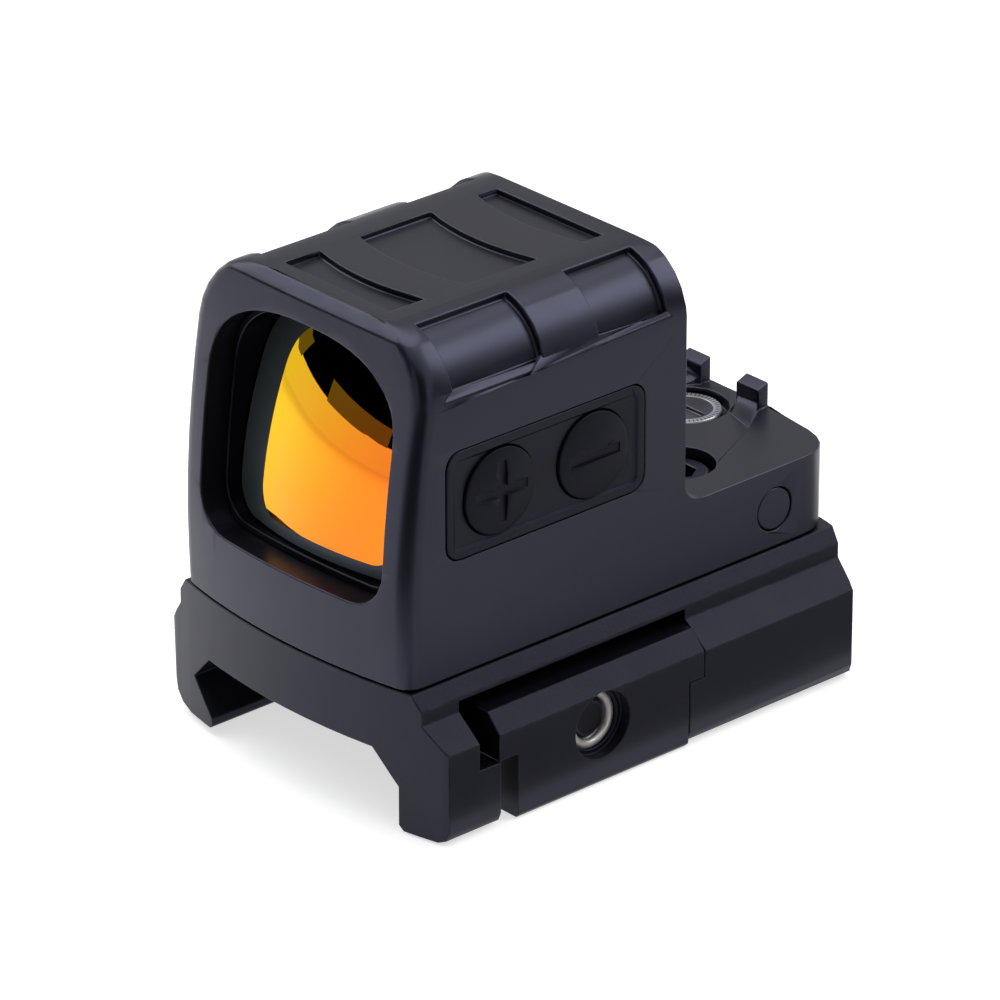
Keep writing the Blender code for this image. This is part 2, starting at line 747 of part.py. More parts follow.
def make_button(tag, centre, low, shelf):
    """A domed button, flanged behind the keypad from low to shelf, with its sign sunk in it."""
    edge = HALF_WIDTH + BUTTON_EDGE
    profile = [(low, BUTTON_RADIUS + BUTTON_FLANGE), (shelf, BUTTON_RADIUS + BUTTON_FLANGE)]
    profile += [(shelf, BUTTON_RADIUS), (edge, BUTTON_RADIUS)]
    for share in (0.93, 0.8, 0.6, 0.35):
        profile.append((edge + BUTTON_CROWN * (1 - share * share), BUTTON_RADIUS * share))
    button = turned(f"{tag}_button", "X", centre, profile, 40)
    top = edge + BUTTON_CROWN
    long, wide = SIGN_LENGTH / 2, SIGN_WIDTH / 2
    deep = (top - SIGN_DEPTH, top + 1)
    u, v = centre
    mill(button, f"cut_{tag}_bar", deep, (u - long, u + long), (v - wide, v + wide))
    if tag == "plus":
        post = box("cut_plus_post", deep, (u - wide, u + wide), (v - long, v + long), CUTTERS)
        bore(button, post)
    paint(button, (0.03, 0.03, 0.034), 0.0, 0.6)


def make_dial(name, axis, centre, face, direction, head, shaft, tip):
    """A slotted adjuster: its head at face, its shaft running inwards to tip."""
    back = face + direction * DIAL_THICK
    screw = turned(name, axis, centre, ((tip, shaft), (back, shaft), (back, head), (face, head)))
    long, wide = 0.62 * head, 0.13 * head
    u, v = centre
    slot = ((u - long, v - wide), (u + long, v - wide), (u + long, v + wide), (u - long, v + wide))
    ends = sorted((face - direction, face + direction * 0.3))
    bore(screw, prism(f"cut_{name}", slot, axis, ends[0], ends[1], CUTTERS))
    return paint(screw, (0.12, 0.12, 0.13), 0.9, 0.35)


def make_adjusters():
    """Elevation and windage screws, their rings, the side plug and its spring."""
    face = DECK_Z - DIAL_SUNK
    tip = BOARD_Z + BOARD_THICK + SLIDE
    make_dial("elevation_screw", "Z", (0.0, DIAL_Y), face, -1, DIAL_RADIUS, DIAL_SHAFT, tip)
    depth = face - DIAL_THICK - 2 * SEAT - RING_TUBE
    radius = DIAL_SHAFT + FIT + RING_TUBE
    ring = torus("elevation_ring", "Z", (0.0, DIAL_Y), depth, radius, RING_TUBE)
    paint(ring, (0.02, 0.02, 0.02), 0.0, 0.7)
    side = (WINDAGE_Y, ADJUST_Z)
    face = -HALF_WIDTH + DIAL_SUNK
    tip = -ARM_HALF - SLIDE - RUN
    make_dial("windage_screw", "X", side, face, 1, WINDAGE_HEAD, WINDAGE_SHAFT, tip)
    depth = face + DIAL_THICK + 2 * SEAT + RING_TUBE
    radius = WINDAGE_SHAFT + FIT + RING_TUBE
    ring = torus("windage_ring", "X", side, depth, radius, RING_TUBE)
    paint(ring, (0.02, 0.02, 0.02), 0.0, 0.7)
    seat = HALF_WIDTH - PLUG_THICK
    profile = (
        (seat, PLUG_RADIUS),
        (HALF_WIDTH - 0.17, PLUG_RADIUS),
        (HALF_WIDTH - 0.05, PLUG_RADIUS - 0.12),
    )
    plug = turned("side_plug", "X", side, profile, 28)
    paint(plug, (0.03, 0.03, 0.034), 0.5, 0.5)
    make_spring(seat - SEAT - SPRING_WIRE - 0.05)


def make_spring(high):
    """The windage return spring, one unbroken coil along X."""
    low = ARM_HALF + SLIDE + BLOCK_WALL + ADJUST_TRAVEL + RUN + SPRING_WIRE
    rise = (high - low) / SPRING_TURNS
    gap = rise - 2 * SPRING_WIRE
    print(f"spring: least gap between turns {gap:.2f} mm")
    curve = bpy.data.curves.new("windage_spring", "CURVE")
    curve.dimensions = "3D"
    curve.bevel_depth = SPRING_WIRE * MM
    curve.bevel_resolution = 1
    curve.use_fill_caps = True
    line = curve.splines.new("POLY")
    count = SPRING_TURNS * 10 + 1
    line.points.add(count - 1)
    for i in range(count):
        turn = 2 * math.pi * i / 10
        x = low + (high - low) * i / (count - 1)
        y = WINDAGE_Y + SPRING_RADIUS * math.cos(turn)
        z = ADJUST_Z + SPRING_RADIUS * math.sin(turn)
        line.points[i].co = (x * MM, y * MM, z * MM, 1.0)
    spring = bpy.data.objects.new("windage_spring", curve)
    PARTS.objects.link(spring)
    paint(spring, (0.6, 0.6, 0.62), 1.0, 0.3)


def make_emitter():
    """The windage block, the arm on it with its tower, the light source and both boards."""
    rim = CAVITY_HALF + PLATE_RIM - FIT
    span = (CAVITY_Y0 - PLATE_RIM + FIT, CAVITY_Y1 + PLATE_RIM - FIT)
    plate = (BOTTOM_Z + SEAT, BOTTOM_Z + SEAT + PLATE_THICK)
    paint(box("bottom_plate", (-rim, rim), span, plate), (0.03, 0.03, 0.03), 0.6, 0.5)
    wide = CAVITY_HALF - FIT
    span = (CAVITY_Y0 + 3 * SLIDE, CAVITY_Y1 - FIT)
    board = box("control_board", (-wide, wide), span, (BOARD_Z, BOARD_Z + BOARD_THICK))
    paint(board, (0.02, 0.12, 0.05), 0.0, 0.5)
    outside = ARM_HALF + SLIDE + BLOCK_WALL
    y0, y1 = WINDAGE_Y - BLOCK_LENGTH / 2, WINDAGE_Y + BLOCK_LENGTH / 2
    low = ARM_Z - ADJUST_TRAVEL - RUN - BLOCK_FLOOR
    high = CAVITY_TOP - SLIDE
    block = box("windage_block", (-outside, outside), (y0, y1), (low, high))
    gap = ARM_HALF + SLIDE
    mill(block, "cut_saddle", (-gap, gap), (y0 - 1, y1 + 1), (low + BLOCK_FLOOR, high + 1))
    side = (WINDAGE_Y, ADJUST_Z)
    drill(block, "cut_block", "X", side, WINDAGE_SHAFT + RUN, -outside - 1, -gap + 1, 20)
    paint(block, (0.55, 0.42, 0.16), 0.9, 0.35)
    front = CAVITY_Y0 + 4 * SLIDE
    rear = CAVITY_Y1 - 2 * SLIDE
    arm = box("emitter_arm", (-ARM_HALF, ARM_HALF), (front, rear), (ARM_Z, ARM_Z + ARM_THICK))
    tower = box(
        "join_tower", (-TOWER_HALF, TOWER_HALF), (front - 0.02, front + TOWER_THICK),
        (ARM_Z + 0.2, TOWER_TOP), CUTTERS,
    )
    bore(arm, tower, "UNION")
    hole = DIAL_SHAFT + ADJUST_TRAVEL + RUN
    wider = box(
        "join_arm_eye", (-hole - 0.5, hole + 0.5), (WINDAGE_Y + BLOCK_LENGTH / 2 + SLIDE, rear + 0.02),
        (ARM_Z + 0.01, ARM_Z + ARM_THICK - 0.01), CUTTERS,
    )
    bore(arm, wider, "UNION")
    drill(arm, "cut_arm", "Z", (0.0, DIAL_Y), hole, ARM_Z - 1, ARM_Z + ARM_THICK + 1, 24)
    paint(arm, (0.04, 0.04, 0.045), 0.5, 0.5)
    y1 = front - 0.02 - SEAT
    y0 = y1 - 0.4
    wide = TOWER_HALF - FIT
    board = box("emitter_board", (-wide, wide), (y0, y1), (TOWER_TOP - 2.3, TOWER_TOP - FIT))
    paint(board, (0.02, 0.12, 0.05), 0.0, 0.5)
    span = (y0 - SEAT - 0.35, y0 - SEAT)
    led = box("emitter_led", (-0.5, 0.5), span, (TOWER_TOP - 1.5, TOWER_TOP - 0.7))
    paint(led, (0.8, 0.05, 0.03), 0.0, 0.2)


def make_battery():
    """The drawer with its cell, seal and screw, and the two contacts in the housing."""
    half = CELL_RADIUS + FIT + TRAY_WALL
    end = CELL_X + CELL_RADIUS + FIT + TRAY_WALL
    floor = TRAY_BOTTOM + TRAY_FLOOR
    top = floor + SEAT + CELL_THICK
    face = -HALF_WIDTH + TRAY_FACE
    across = (TRAY_Y - half, TRAY_Y + half)
    tray = box("battery_tray", (face - 0.3, end), across, (TRAY_BOTTOM, top - 0.8))
    lip = top + SLIDE + CONTACT_THICK - FIT
    lug = TRAY_Y + half + TRAY_LUG - FIT
    door = box(
        "join_door", (-HALF_WIDTH + SEAT, face), (TRAY_Y - half + 0.01, lug),
        (TRAY_BOTTOM + 0.01, lip), CUTTERS,
    )
    bore(tray, door, "UNION")
    centre = (CELL_X, TRAY_Y)
    drill(tray, "cut_cell", "Z", centre, CELL_RADIUS + FIT, floor, top + 3, 48)
    paint(tray, (0.03, 0.03, 0.034), 0.4, 0.5)
    cell = (
        (floor + SEAT, CELL_RADIUS - 0.4),
        (floor + SEAT + 0.35, CELL_RADIUS - 0.05),
        (floor + SEAT + 0.45, CELL_RADIUS),
        (top - 0.2, CELL_RADIUS),
        (top, CELL_RADIUS - 0.2),
    )
    paint(turned("coin_cell", "Z", centre, cell, 40), (0.75, 0.75, 0.77), 1.0, 0.25)
    middle = (TRAY_BOTTOM - FIT + lip + FIT) / 2
    hole = (TRAY_Y + half + FIT + TRAY_LUG / 2, middle)
    drill(tray, "cut_tray_eye", "X", hole, 0.5 + FIT, -HALF_WIDTH - 1, face + 1, 16)
    drill(tray, "cut_tray_head", "X", hole, 0.95 + FIT, -HALF_WIDTH - 1, face - 0.4 + SEAT, 20)
    profile = (
        (face + 2.9, 0.5),
        (face - 0.4, 0.5),
        (face - 0.4, 0.95),
        (-HALF_WIDTH + 0.1, 0.95),
    )
    screw = turned("tray_screw", "X", hole, profile, 20)
    paint(screw, (0.35, 0.35, 0.37), 1.0, 0.3)
    reach = (CELL_X - 4.0, CELL_X + CELL_RADIUS + TRAY_WALL)
    over = (top + SLIDE - SEAT, top + SLIDE - SEAT + CONTACT_THICK)
    strip = box("contact_upper", reach, (TRAY_Y - 0.9, TRAY_Y + 0.9), over)
    paint(strip, (0.7, 0.5, 0.2), 1.0, 0.3)
    reach = (end + SLIDE - SEAT, end + SLIDE - SEAT + CONTACT_THICK)
    strip = box("contact_end", reach, (TRAY_Y - 0.9, TRAY_Y + 0.9), (TRAY_BOTTOM + 0.2, top - 0.4))
    paint(strip, (0.7, 0.5, 0.2), 1.0, 0.3)


def base_outline():
    """Cross-section of the rail clamp base in X and Z."""
    top_edge = HALF_WIDTH + 0.1
    ledge = HALF_WIDTH + LEDGE_OUT
    leg = RAIL_HALF + 0.1
    return [
        (top_edge, BASE_TOP),
        (ledge, BASE_TOP - 1.05),
        (ledge, BASE_TOP - 2.1),
        (NEAR_FACE, SLOPE_Z),
        (NEAR_FACE, LEG_LIFT + 0.9),
        (NEAR_FACE - 0.25, LEG_LIFT + 0.27),
        (NEAR_FACE - 0.9, LEG_LIFT),
        (leg + 0.4, LEG_LIFT),
        (leg, LEG_LIFT + 0.4),
        (leg, UNDERSIDE - 2.3),
        (leg - 2.2, UNDERSIDE),
        (-GROOVE_X + GROOVE_DEPTH, UNDERSIDE),
        (-GROOVE_X, GROOVE_Z),
        (-TIP_HALF, TIP_Z),
        (-TIP_HALF + 0.05, HOOK_LIFT + 0.3),
        (-TIP_HALF - 0.3, HOOK_LIFT),
        (-FAR_FACE + 2.6, HOOK_LIFT),
        (-FAR_FACE + 1.3, HOOK_LIFT + 0.3),
        (-FAR_FACE + 0.6, HOOK_LIFT + 0.9),
        (-FAR_FACE + 0.25, HOOK_LIFT + 2.0),
        (-FAR_FACE, SLOPE_Z),
        (-ledge, BASE_TOP - 2.1),
        (-ledge, BASE_TOP - 1.05),
        (-top_edge, BASE_TOP),
    ]


def make_base():
    """The rail clamp base, cut for the jaw, the bolt, the pins and the housing screws."""
    base = prism("rail_base", base_outline(), "Y", FRONT_Y - 2, REAR_Y + 2)
    ends = plan(NEAR_FACE + 1, FAR_FACE + 1, BOTTOM_Z, BASE_CORNER, BASE_CORNER)
    bore(base, prism("trim_base", ends, "Z", -3, BASE_TOP + 3, CUTTERS), "INTERSECT")
    inner = JAW_INNER - 2 * SLIDE
    upper = (JAW_Y0 - JAW_GAP, JAW_Y1 + FIT)
    mill(base, "cut_jaw_wings", (inner, NEAR_FACE + 3), upper, (JAW_SPLIT - FIT, POCKET_TOP))
    lower = (JAW_Y0 + JAW_WING - JAW_GAP + 0.2, JAW_Y1 - JAW_WING + FIT + 0.3)
    mill(base, "cut_jaw_block", (TIP_HALF - 0.7, NEAR_FACE + 3), lower, (-3, JAW_SPLIT + 1))
    axis = (BOLT_Y, BOLT_Z)
    seat = -NEAR_FACE + BOLT_HEAD_THICK
    drill(base, "cut_bolt", "X", axis, BOLT_RADIUS + RUN, seat - 1, inner + 1)
    drill(base, "cut_bolt_head", "X", axis, BOLT_HEAD + 2 * RUN, -NEAR_FACE - 2, seat + SEAT)
    for side, tag in ((-1, "front"), (1, "rear")):
        hole = (BOLT_Y + side * PIN_SPREAD, PIN_Z)
        drill(base, f"cut_pin_{tag}", "X", hole, PIN_RADIUS + SEAT, inner - 2.6, inner + 1, 20)
    for side, tag in ((1, "left"), (-1, "right")):
        hole = (side * SCREW_X, SCREW_Y)
        drill(base, f"cut_tap_{tag}", "Z", hole, SCREW_SHAFT + FIT, UNDERSIDE + 0.7, BASE_TOP + 2, 24)
    wide = HALF_WIDTH - GASKET_INSET
    floor = BASE_TOP - GASKET_THICK + SEAM_GAP - 2 * SEAT
    y0, y1 = FRONT_Y + GASKET_INSET + 1, REAR_Y - GASKET_INSET - 0.5
    outline = rounded(-wide, wide, y0, y1, 2.0)
    bore(base, prism("cut_gasket", outline, "Z", floor, BASE_TOP + 2, CUTTERS))
    paint(base, (0.03, 0.032, 0.036), 0.6, 0.5)
    outline = rounded(-wide, wide, y0, y1, 2.0, None, FIT)
    low = floor + SEAT
    gasket = prism("base_gasket", outline, "Z", low, low + GASKET_THICK)
    for side, tag in ((1, "left"), (-1, "right")):
        hole = (side * SCREW_X, SCREW_Y)
        drill(gasket, f"cut_gasket_{tag}", "Z", hole, SCREW_SHAFT + RUN, floor - 1, floor + 2, 24)
    paint(gasket, (0.02, 0.02, 0.02), 0.0, 0.8)


def make_clamp():
    """The sliding jaw with its thread insert, the cross bolt and two guide pins."""
    top = (
        (JAW_INNER, JAW_SPLIT),
        (NEAR_FACE, JAW_SPLIT),
        (NEAR_FACE, SLOPE_Z),
        (NEAR_FACE - 1.25, JAW_TOP),
        (JAW_INNER, JAW_TOP),
    )
    jaw = prism("clamp_jaw", top, "Y", JAW_Y0, JAW_Y1)
    hook = (
        (JAW_INNER + 0.01, JAW_SPLIT + 0.5),
        (GROOVE_X, JAW_SPLIT - 0.1),
        (GROOVE_X, GROOVE_Z),
        (TIP_HALF, TIP_Z),
        (TIP_HALF, 0.0),
        (NEAR_FACE - 0.3, 0.0),
        (NEAR_FACE - 0.01, 0.3),
        (NEAR_FACE - 0.01, JAW_SPLIT + 0.5),
    )
    block = prism("join_hook", hook, "Y", JAW_Y0 + JAW_WING, JAW_Y1 - JAW_WING + 0.3, CUTTERS)
    bore(jaw, block, "UNION")
    axis = (BOLT_Y, BOLT_Z)
    mouth = NEAR_FACE - INSERT_SUNK
    drill(jaw, "cut_mouth", "X", axis, HOLE_RADIUS, mouth, NEAR_FACE + 1, 36)
    drill(jaw, "cut_insert", "X", axis, INSERT_RADIUS + SEAT, TIP_HALF - 1, mouth + 0.5)
    pin_end = JAW_INNER + 2.1
    for side, tag in ((-1, "front"), (1, "rear")):
        hole = (BOLT_Y + side * PIN_SPREAD, PIN_Z)
        drill(jaw, f"cut_guide_{tag}", "X", hole, PIN_RADIUS + FIT, JAW_INNER - 1, pin_end + 0.2, 20)
        start = JAW_INNER - 2 * SLIDE - 2.5
        pin = disc(f"guide_pin_{tag}", "X", hole, PIN_RADIUS, start, pin_end, None, 20)
        paint(pin, (0.55, 0.55, 0.57), 1.0, 0.3)
    paint(jaw, (0.03, 0.032, 0.036), 0.6, 0.5)
    insert = disc("thread_insert", "X", axis, INSERT_RADIUS, mouth - INSERT_LENGTH, mouth)
    drill(insert, "cut_thread", "X", axis, BOLT_THREAD + RUN, mouth - INSERT_LENGTH - 1, mouth + 1)
    paint(insert, (0.75, 0.75, 0.76), 1.0, 0.25)
    seat = -NEAR_FACE + BOLT_HEAD_THICK
    step = mouth - INSERT_LENGTH - 2 * SLIDE
    profile = (
        (-NEAR_FACE, BOLT_HEAD - 0.35),
        (-NEAR_FACE + 0.35, BOLT_HEAD),
        (seat, BOLT_HEAD),
        (seat, BOLT_RADIUS),
        (step, BOLT_RADIUS),
        (step, BOLT_THREAD),
        (mouth - 0.7, BOLT_THREAD),
        (mouth - 0.45, BOLT_THREAD - 0.25),
    )
    bolt = turned("clamp_screw", "X", axis, profile, 36)
    socket = circle(*axis, 1.45, 6)
    bore(bolt, prism("cut_socket", socket, "X", -NEAR_FACE - 1, -NEAR_FACE + 1.5, CUTTERS))
    paint(bolt, (0.05, 0.05, 0.055), 0.8, 0.35)


def make_screws():
    """The two screws that hold the housing to the base."""
    for side, tag in ((1, "left"), (-1, "right")):
        centre = (side * SCREW_X, SCREW_Y)
        top = DECK_Z - SCREW_HEAD_SUNK
        seat = top - SCREW_HEAD_THICK
        profile = (
            (UNDERSIDE + 0.9, SCREW_SHAFT),
            (seat, SCREW_SHAFT),
            (seat, SCREW_HEAD),
            (top - 0.25, SCREW_HEAD),
            (top, SCREW_HEAD - 0.3),
        )
        screw = turned(f"housing_screw_{tag}", "Z", centre, profile, 28)
        socket = circle(*centre, 1.25, 6)
        bore(screw, prism(f"cut_socket_{tag}", socket, "Z", top - 1.2, top + 1, CUTTERS))
        paint(screw, (0.06, 0.06, 0.065), 0.9, 0.3)


make_housing()
make_optics()
make_keypad()
make_adjusters()
make_emitter()
make_battery()
make_base()
make_clamp()
make_screws()
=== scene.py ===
"""Looks of an enclosed red dot finder on a rail clamp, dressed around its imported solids.

Everything is in metres in the frame of the solids: +Z up, -Y the lens end and +X the
keypad side. Sizes in the classes are in millimetres.
"""

from __future__ import annotations

import logging
import math
from dataclasses import dataclass
from enum import Enum
from typing import Any, Callable, Sequence

import bmesh
import bpy
from mathutils import Matrix, Vector

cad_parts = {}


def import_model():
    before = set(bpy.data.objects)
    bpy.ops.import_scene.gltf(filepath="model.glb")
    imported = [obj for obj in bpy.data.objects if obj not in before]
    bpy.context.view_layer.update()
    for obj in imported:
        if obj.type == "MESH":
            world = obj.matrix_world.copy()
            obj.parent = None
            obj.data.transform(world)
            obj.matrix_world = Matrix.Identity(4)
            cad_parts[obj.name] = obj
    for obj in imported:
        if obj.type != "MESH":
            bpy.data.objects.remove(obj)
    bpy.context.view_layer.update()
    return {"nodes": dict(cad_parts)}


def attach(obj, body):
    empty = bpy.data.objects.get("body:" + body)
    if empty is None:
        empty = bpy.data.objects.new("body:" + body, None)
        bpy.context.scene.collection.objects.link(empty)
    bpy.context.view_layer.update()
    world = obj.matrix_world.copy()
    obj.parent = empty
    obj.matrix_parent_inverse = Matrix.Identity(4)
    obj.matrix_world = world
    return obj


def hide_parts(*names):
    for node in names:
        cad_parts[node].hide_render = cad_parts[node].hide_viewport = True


MM = 0.001
LOG = logging.getLogger("finder")

Colour = tuple[float, float, float]
Flat = tuple[float, float]
Point = tuple[float, float, float]
Form = bmesh.types.BMesh
Material = bpy.types.Material
Piece = bpy.types.Object
Socket = bpy.types.NodeSocket
Tree = bpy.types.NodeTree

DUST: Colour = (0.42, 0.41, 0.39)


class Edge(Enum):
    """How far an edge is broken, in millimetres."""

    CRISP = 0.05
    BROKEN = 0.09
    EASED = 0.13


class Body(str, Enum):
    """The bodies that dressed pieces ride on."""

    SIGHT = "sight"
    PLUS = "plus_key"
    MINUS = "minus_key"
    ELEVATION = "elevation_dial"
    WINDAGE = "windage_dial"
    DRAWER = "battery_drawer"
    BOLT = "clamp_bolt"
    JAW = "jaw"


# Shader tools


class Graph:
    """A short hand for adding and joining nodes in one tree."""

    def __init__(self, tree: Tree) -> None:
        """Keeps the tree that nodes are added to."""
        self.tree = tree

    def add(self, kind: str, **values: Any) -> bpy.types.Node:
        """Adds a node.

        Args:
            kind: Blender's name of the node type.
            values: settings of the node itself.

        Returns:
            The new node.
        """
        node = self.tree.nodes.new(kind)
        for key, value in values.items():
            setattr(node, key, value)
        return node

    def feed(self, node: bpy.types.Node, **sources: Any) -> bpy.types.Node:
        """Sets or links inputs, named with underscores for spaces.

        Args:
            node: the node to feed.
            sources: an output socket, or a plain value, for each input.

        Returns:
            The same node.
        """
        for key, source in sources.items():
            self.join(node.inputs[key.replace("_", " ")], source)
        return node

    def join(self, socket: Socket, source: Any) -> None:
        """Links an output to an input, or sets the input's value.

        Args:
            socket: the input.
            source: an output socket or a plain value.
        """
        if isinstance(source, Socket):
            self.tree.links.new(source, socket)
        else:
            socket.default_value = source

    def math(self, operation: str, first: Any, second: Any = 0.0) -> Socket:
        """Joins two values.

        Args:
            operation: the Math node's operation.
            first: an output socket or a number.
            second: an output socket or a number.

        Returns:
            The result's socket.
        """
        node = self.add("ShaderNodeMath", operation=operation)
        for socket, source in zip(node.inputs, (first, second)):
            self.join(socket, source)
        return node.outputs[0]

    def blend(self, share: Any, low: Any, high: Any) -> Socket:
        """Mixes two colours.

        Args:
            share: an output socket or a number from 0 to 1.
            low: the colour at 0, or an output socket.
            high: the colour at 1, or an output socket.

        Returns:
            The mixed colour's socket.
        """
        node = self.add("ShaderNodeMix", data_type="RGBA")
        for index, source in ((0, share), (6, low), (7, high)):
            colour = (*source, 1.0) if isinstance(source, tuple) else source
            self.join(node.inputs[index], colour)
        return node.outputs[2]

    def spread(self, value: Any, low: float, high: float) -> Socket:
        """Maps a value from 0..1 to low..high.

        Args:
            value: an output socket.
            low: the result at 0.
            high: the result at 1.

        Returns:
            The mapped value's socket.
        """
        node = self.add("ShaderNodeMapRange")
        self.feed(node, Value=value, To_Min=low, To_Max=high)
        return node.outputs[0]


def group(name: str, values: dict[str, float], outputs: Sequence[str]) -> Graph:
    """Starts a shader node group with named sockets.

    Args:
        name: the group's name.
        values: name and default of each input after Vector.
        outputs: names of the value outputs.

    Returns:
        A graph whose tree has one Group Input and one Group Output.
    """
    tree = bpy.data.node_groups.new(name, "ShaderNodeTree")
    tree.interface.new_socket("Vector", in_out="INPUT", socket_type="NodeSocketVector")
    for label, default in values.items():
        socket = tree.interface.new_socket(label, in_out="INPUT", socket_type="NodeSocketFloat")
        socket.default_value = default
    for label in outputs:
        tree.interface.new_socket(label, in_out="OUTPUT", socket_type="NodeSocketFloat")
    graph = Graph(tree)
    graph.add("NodeGroupInput", name="In")
    graph.add("NodeGroupOutput", name="Out")
    return graph


def grain_group() -> Tree:
    """Builds the blasted or moulded grain.

    Returns:
        A group that gives a fine height and a slow tone, each from 0 to 1.
    """
    graph = group("surface_grain", {"Grain": 9000.0, "Cloud": 220.0}, ("Height", "Tone"))
    inside = graph.tree.nodes["In"].outputs
    fine = graph.add("ShaderNodeTexNoise")
    graph.feed(fine, Vector=inside["Vector"], Scale=inside["Grain"], Detail=2.0, Roughness=0.6)
    slow = graph.add("ShaderNodeTexNoise")
    graph.feed(slow, Vector=inside["Vector"], Scale=inside["Cloud"], Detail=4.0, Roughness=0.55)
    graph.feed(graph.tree.nodes["Out"], Height=fine.outputs["Fac"], Tone=slow.outputs["Fac"])
    return graph.tree


def edge_wear_and_highlight_group() -> Tree:
    """Builds the wear and painted highlight along broken edges.

    Returns:
        A group that gives a mask of edge wear and painted edge highlight, strongest on the mesh's
        "edge" faces and broken up by noise.
    """
    graph = group("edge_wear_and_painted_highlight", {"Patch": 900.0, "Amount": 0.4}, ("Mask",))
    inside = graph.tree.nodes["In"].outputs
    edge = graph.add("ShaderNodeAttribute", attribute_name="edge")
    patch = graph.add("ShaderNodeTexNoise")
    graph.feed(patch, Vector=inside["Vector"], Scale=inside["Patch"], Detail=3.0)
    broken = graph.add("ShaderNodeMapRange")
    graph.feed(broken, Value=patch.outputs["Fac"], From_Min=0.36, From_Max=0.62)
    mask = graph.math("MULTIPLY", edge.outputs["Fac"], broken.outputs[0])
    graph.feed(graph.tree.nodes["Out"], Mask=graph.math("MULTIPLY", mask, inside["Amount"]))
    return graph.tree


def dust_group() -> Tree:
    """Builds a thin settling of dust on faces that look up.

    Returns:
        A group that gives a mask from 0 to 1.
    """
    graph = group("settled_dust", {"Mote": 2600.0, "Amount": 0.1}, ("Mask",))
    inside = graph.tree.nodes["In"].outputs
    face = graph.add("ShaderNodeNewGeometry")
    split = graph.add("ShaderNodeSeparateXYZ")
    graph.feed(split, Vector=face.outputs["Normal"])
    up = graph.add("ShaderNodeMapRange")
    graph.feed(up, Value=split.outputs["Z"], From_Min=0.5, From_Max=0.98)
    motes = graph.add("ShaderNodeTexVoronoi", feature="F1")
    graph.feed(motes, Vector=inside["Vector"], Scale=inside["Mote"])
    near = graph.add("ShaderNodeMapRange")
    graph.feed(near, Value=motes.outputs["Distance"], From_Min=0.11, From_Max=0.03)
    mask = graph.math("MULTIPLY", up.outputs[0], near.outputs[0])
    graph.feed(graph.tree.nodes["Out"], Mask=graph.math("MULTIPLY", mask, inside["Amount"]))
    return graph.tree


def blank(name: str) -> tuple[Material, Graph, bpy.types.Node, Socket]:
    """Starts a material.

    Args:
        name: the material's name.

    Returns:
        The material, its graph, its shader and the place on the surface.
    """
    material = bpy.data.materials.new(name)
    material.use_nodes = True
    graph = Graph(material.node_tree)
    place = graph.add("ShaderNodeTexCoord").outputs["Object"]
    return material, graph, material.node_tree.nodes["Principled BSDF"], place


def seen(graph: Graph) -> Socket:
    """Tells what the eye, metal or glass meets from what only lights a surface.

    Args:
        graph: the graph of a stage material or the world.

    Returns:
        A socket that is 1 for camera, glossy and transmitted rays and 0 for others.
    """
    path = graph.add("ShaderNodeLightPath").outputs
    met = graph.math("MAXIMUM", path["Is Camera Ray"], path["Is Glossy Ray"])
    return graph.math("MAXIMUM", met, path["Is Transmission Ray"])


@dataclass(frozen=True)
class Effects:
    """The shader groups that the finishes share."""

    grain: Tree
    wear_and_highlight: Tree
    dust: Tree

    @classmethod
    def build(cls) -> Effects:
        """Makes each group once."""
        return cls(grain_group(), edge_wear_and_highlight_group(), dust_group())


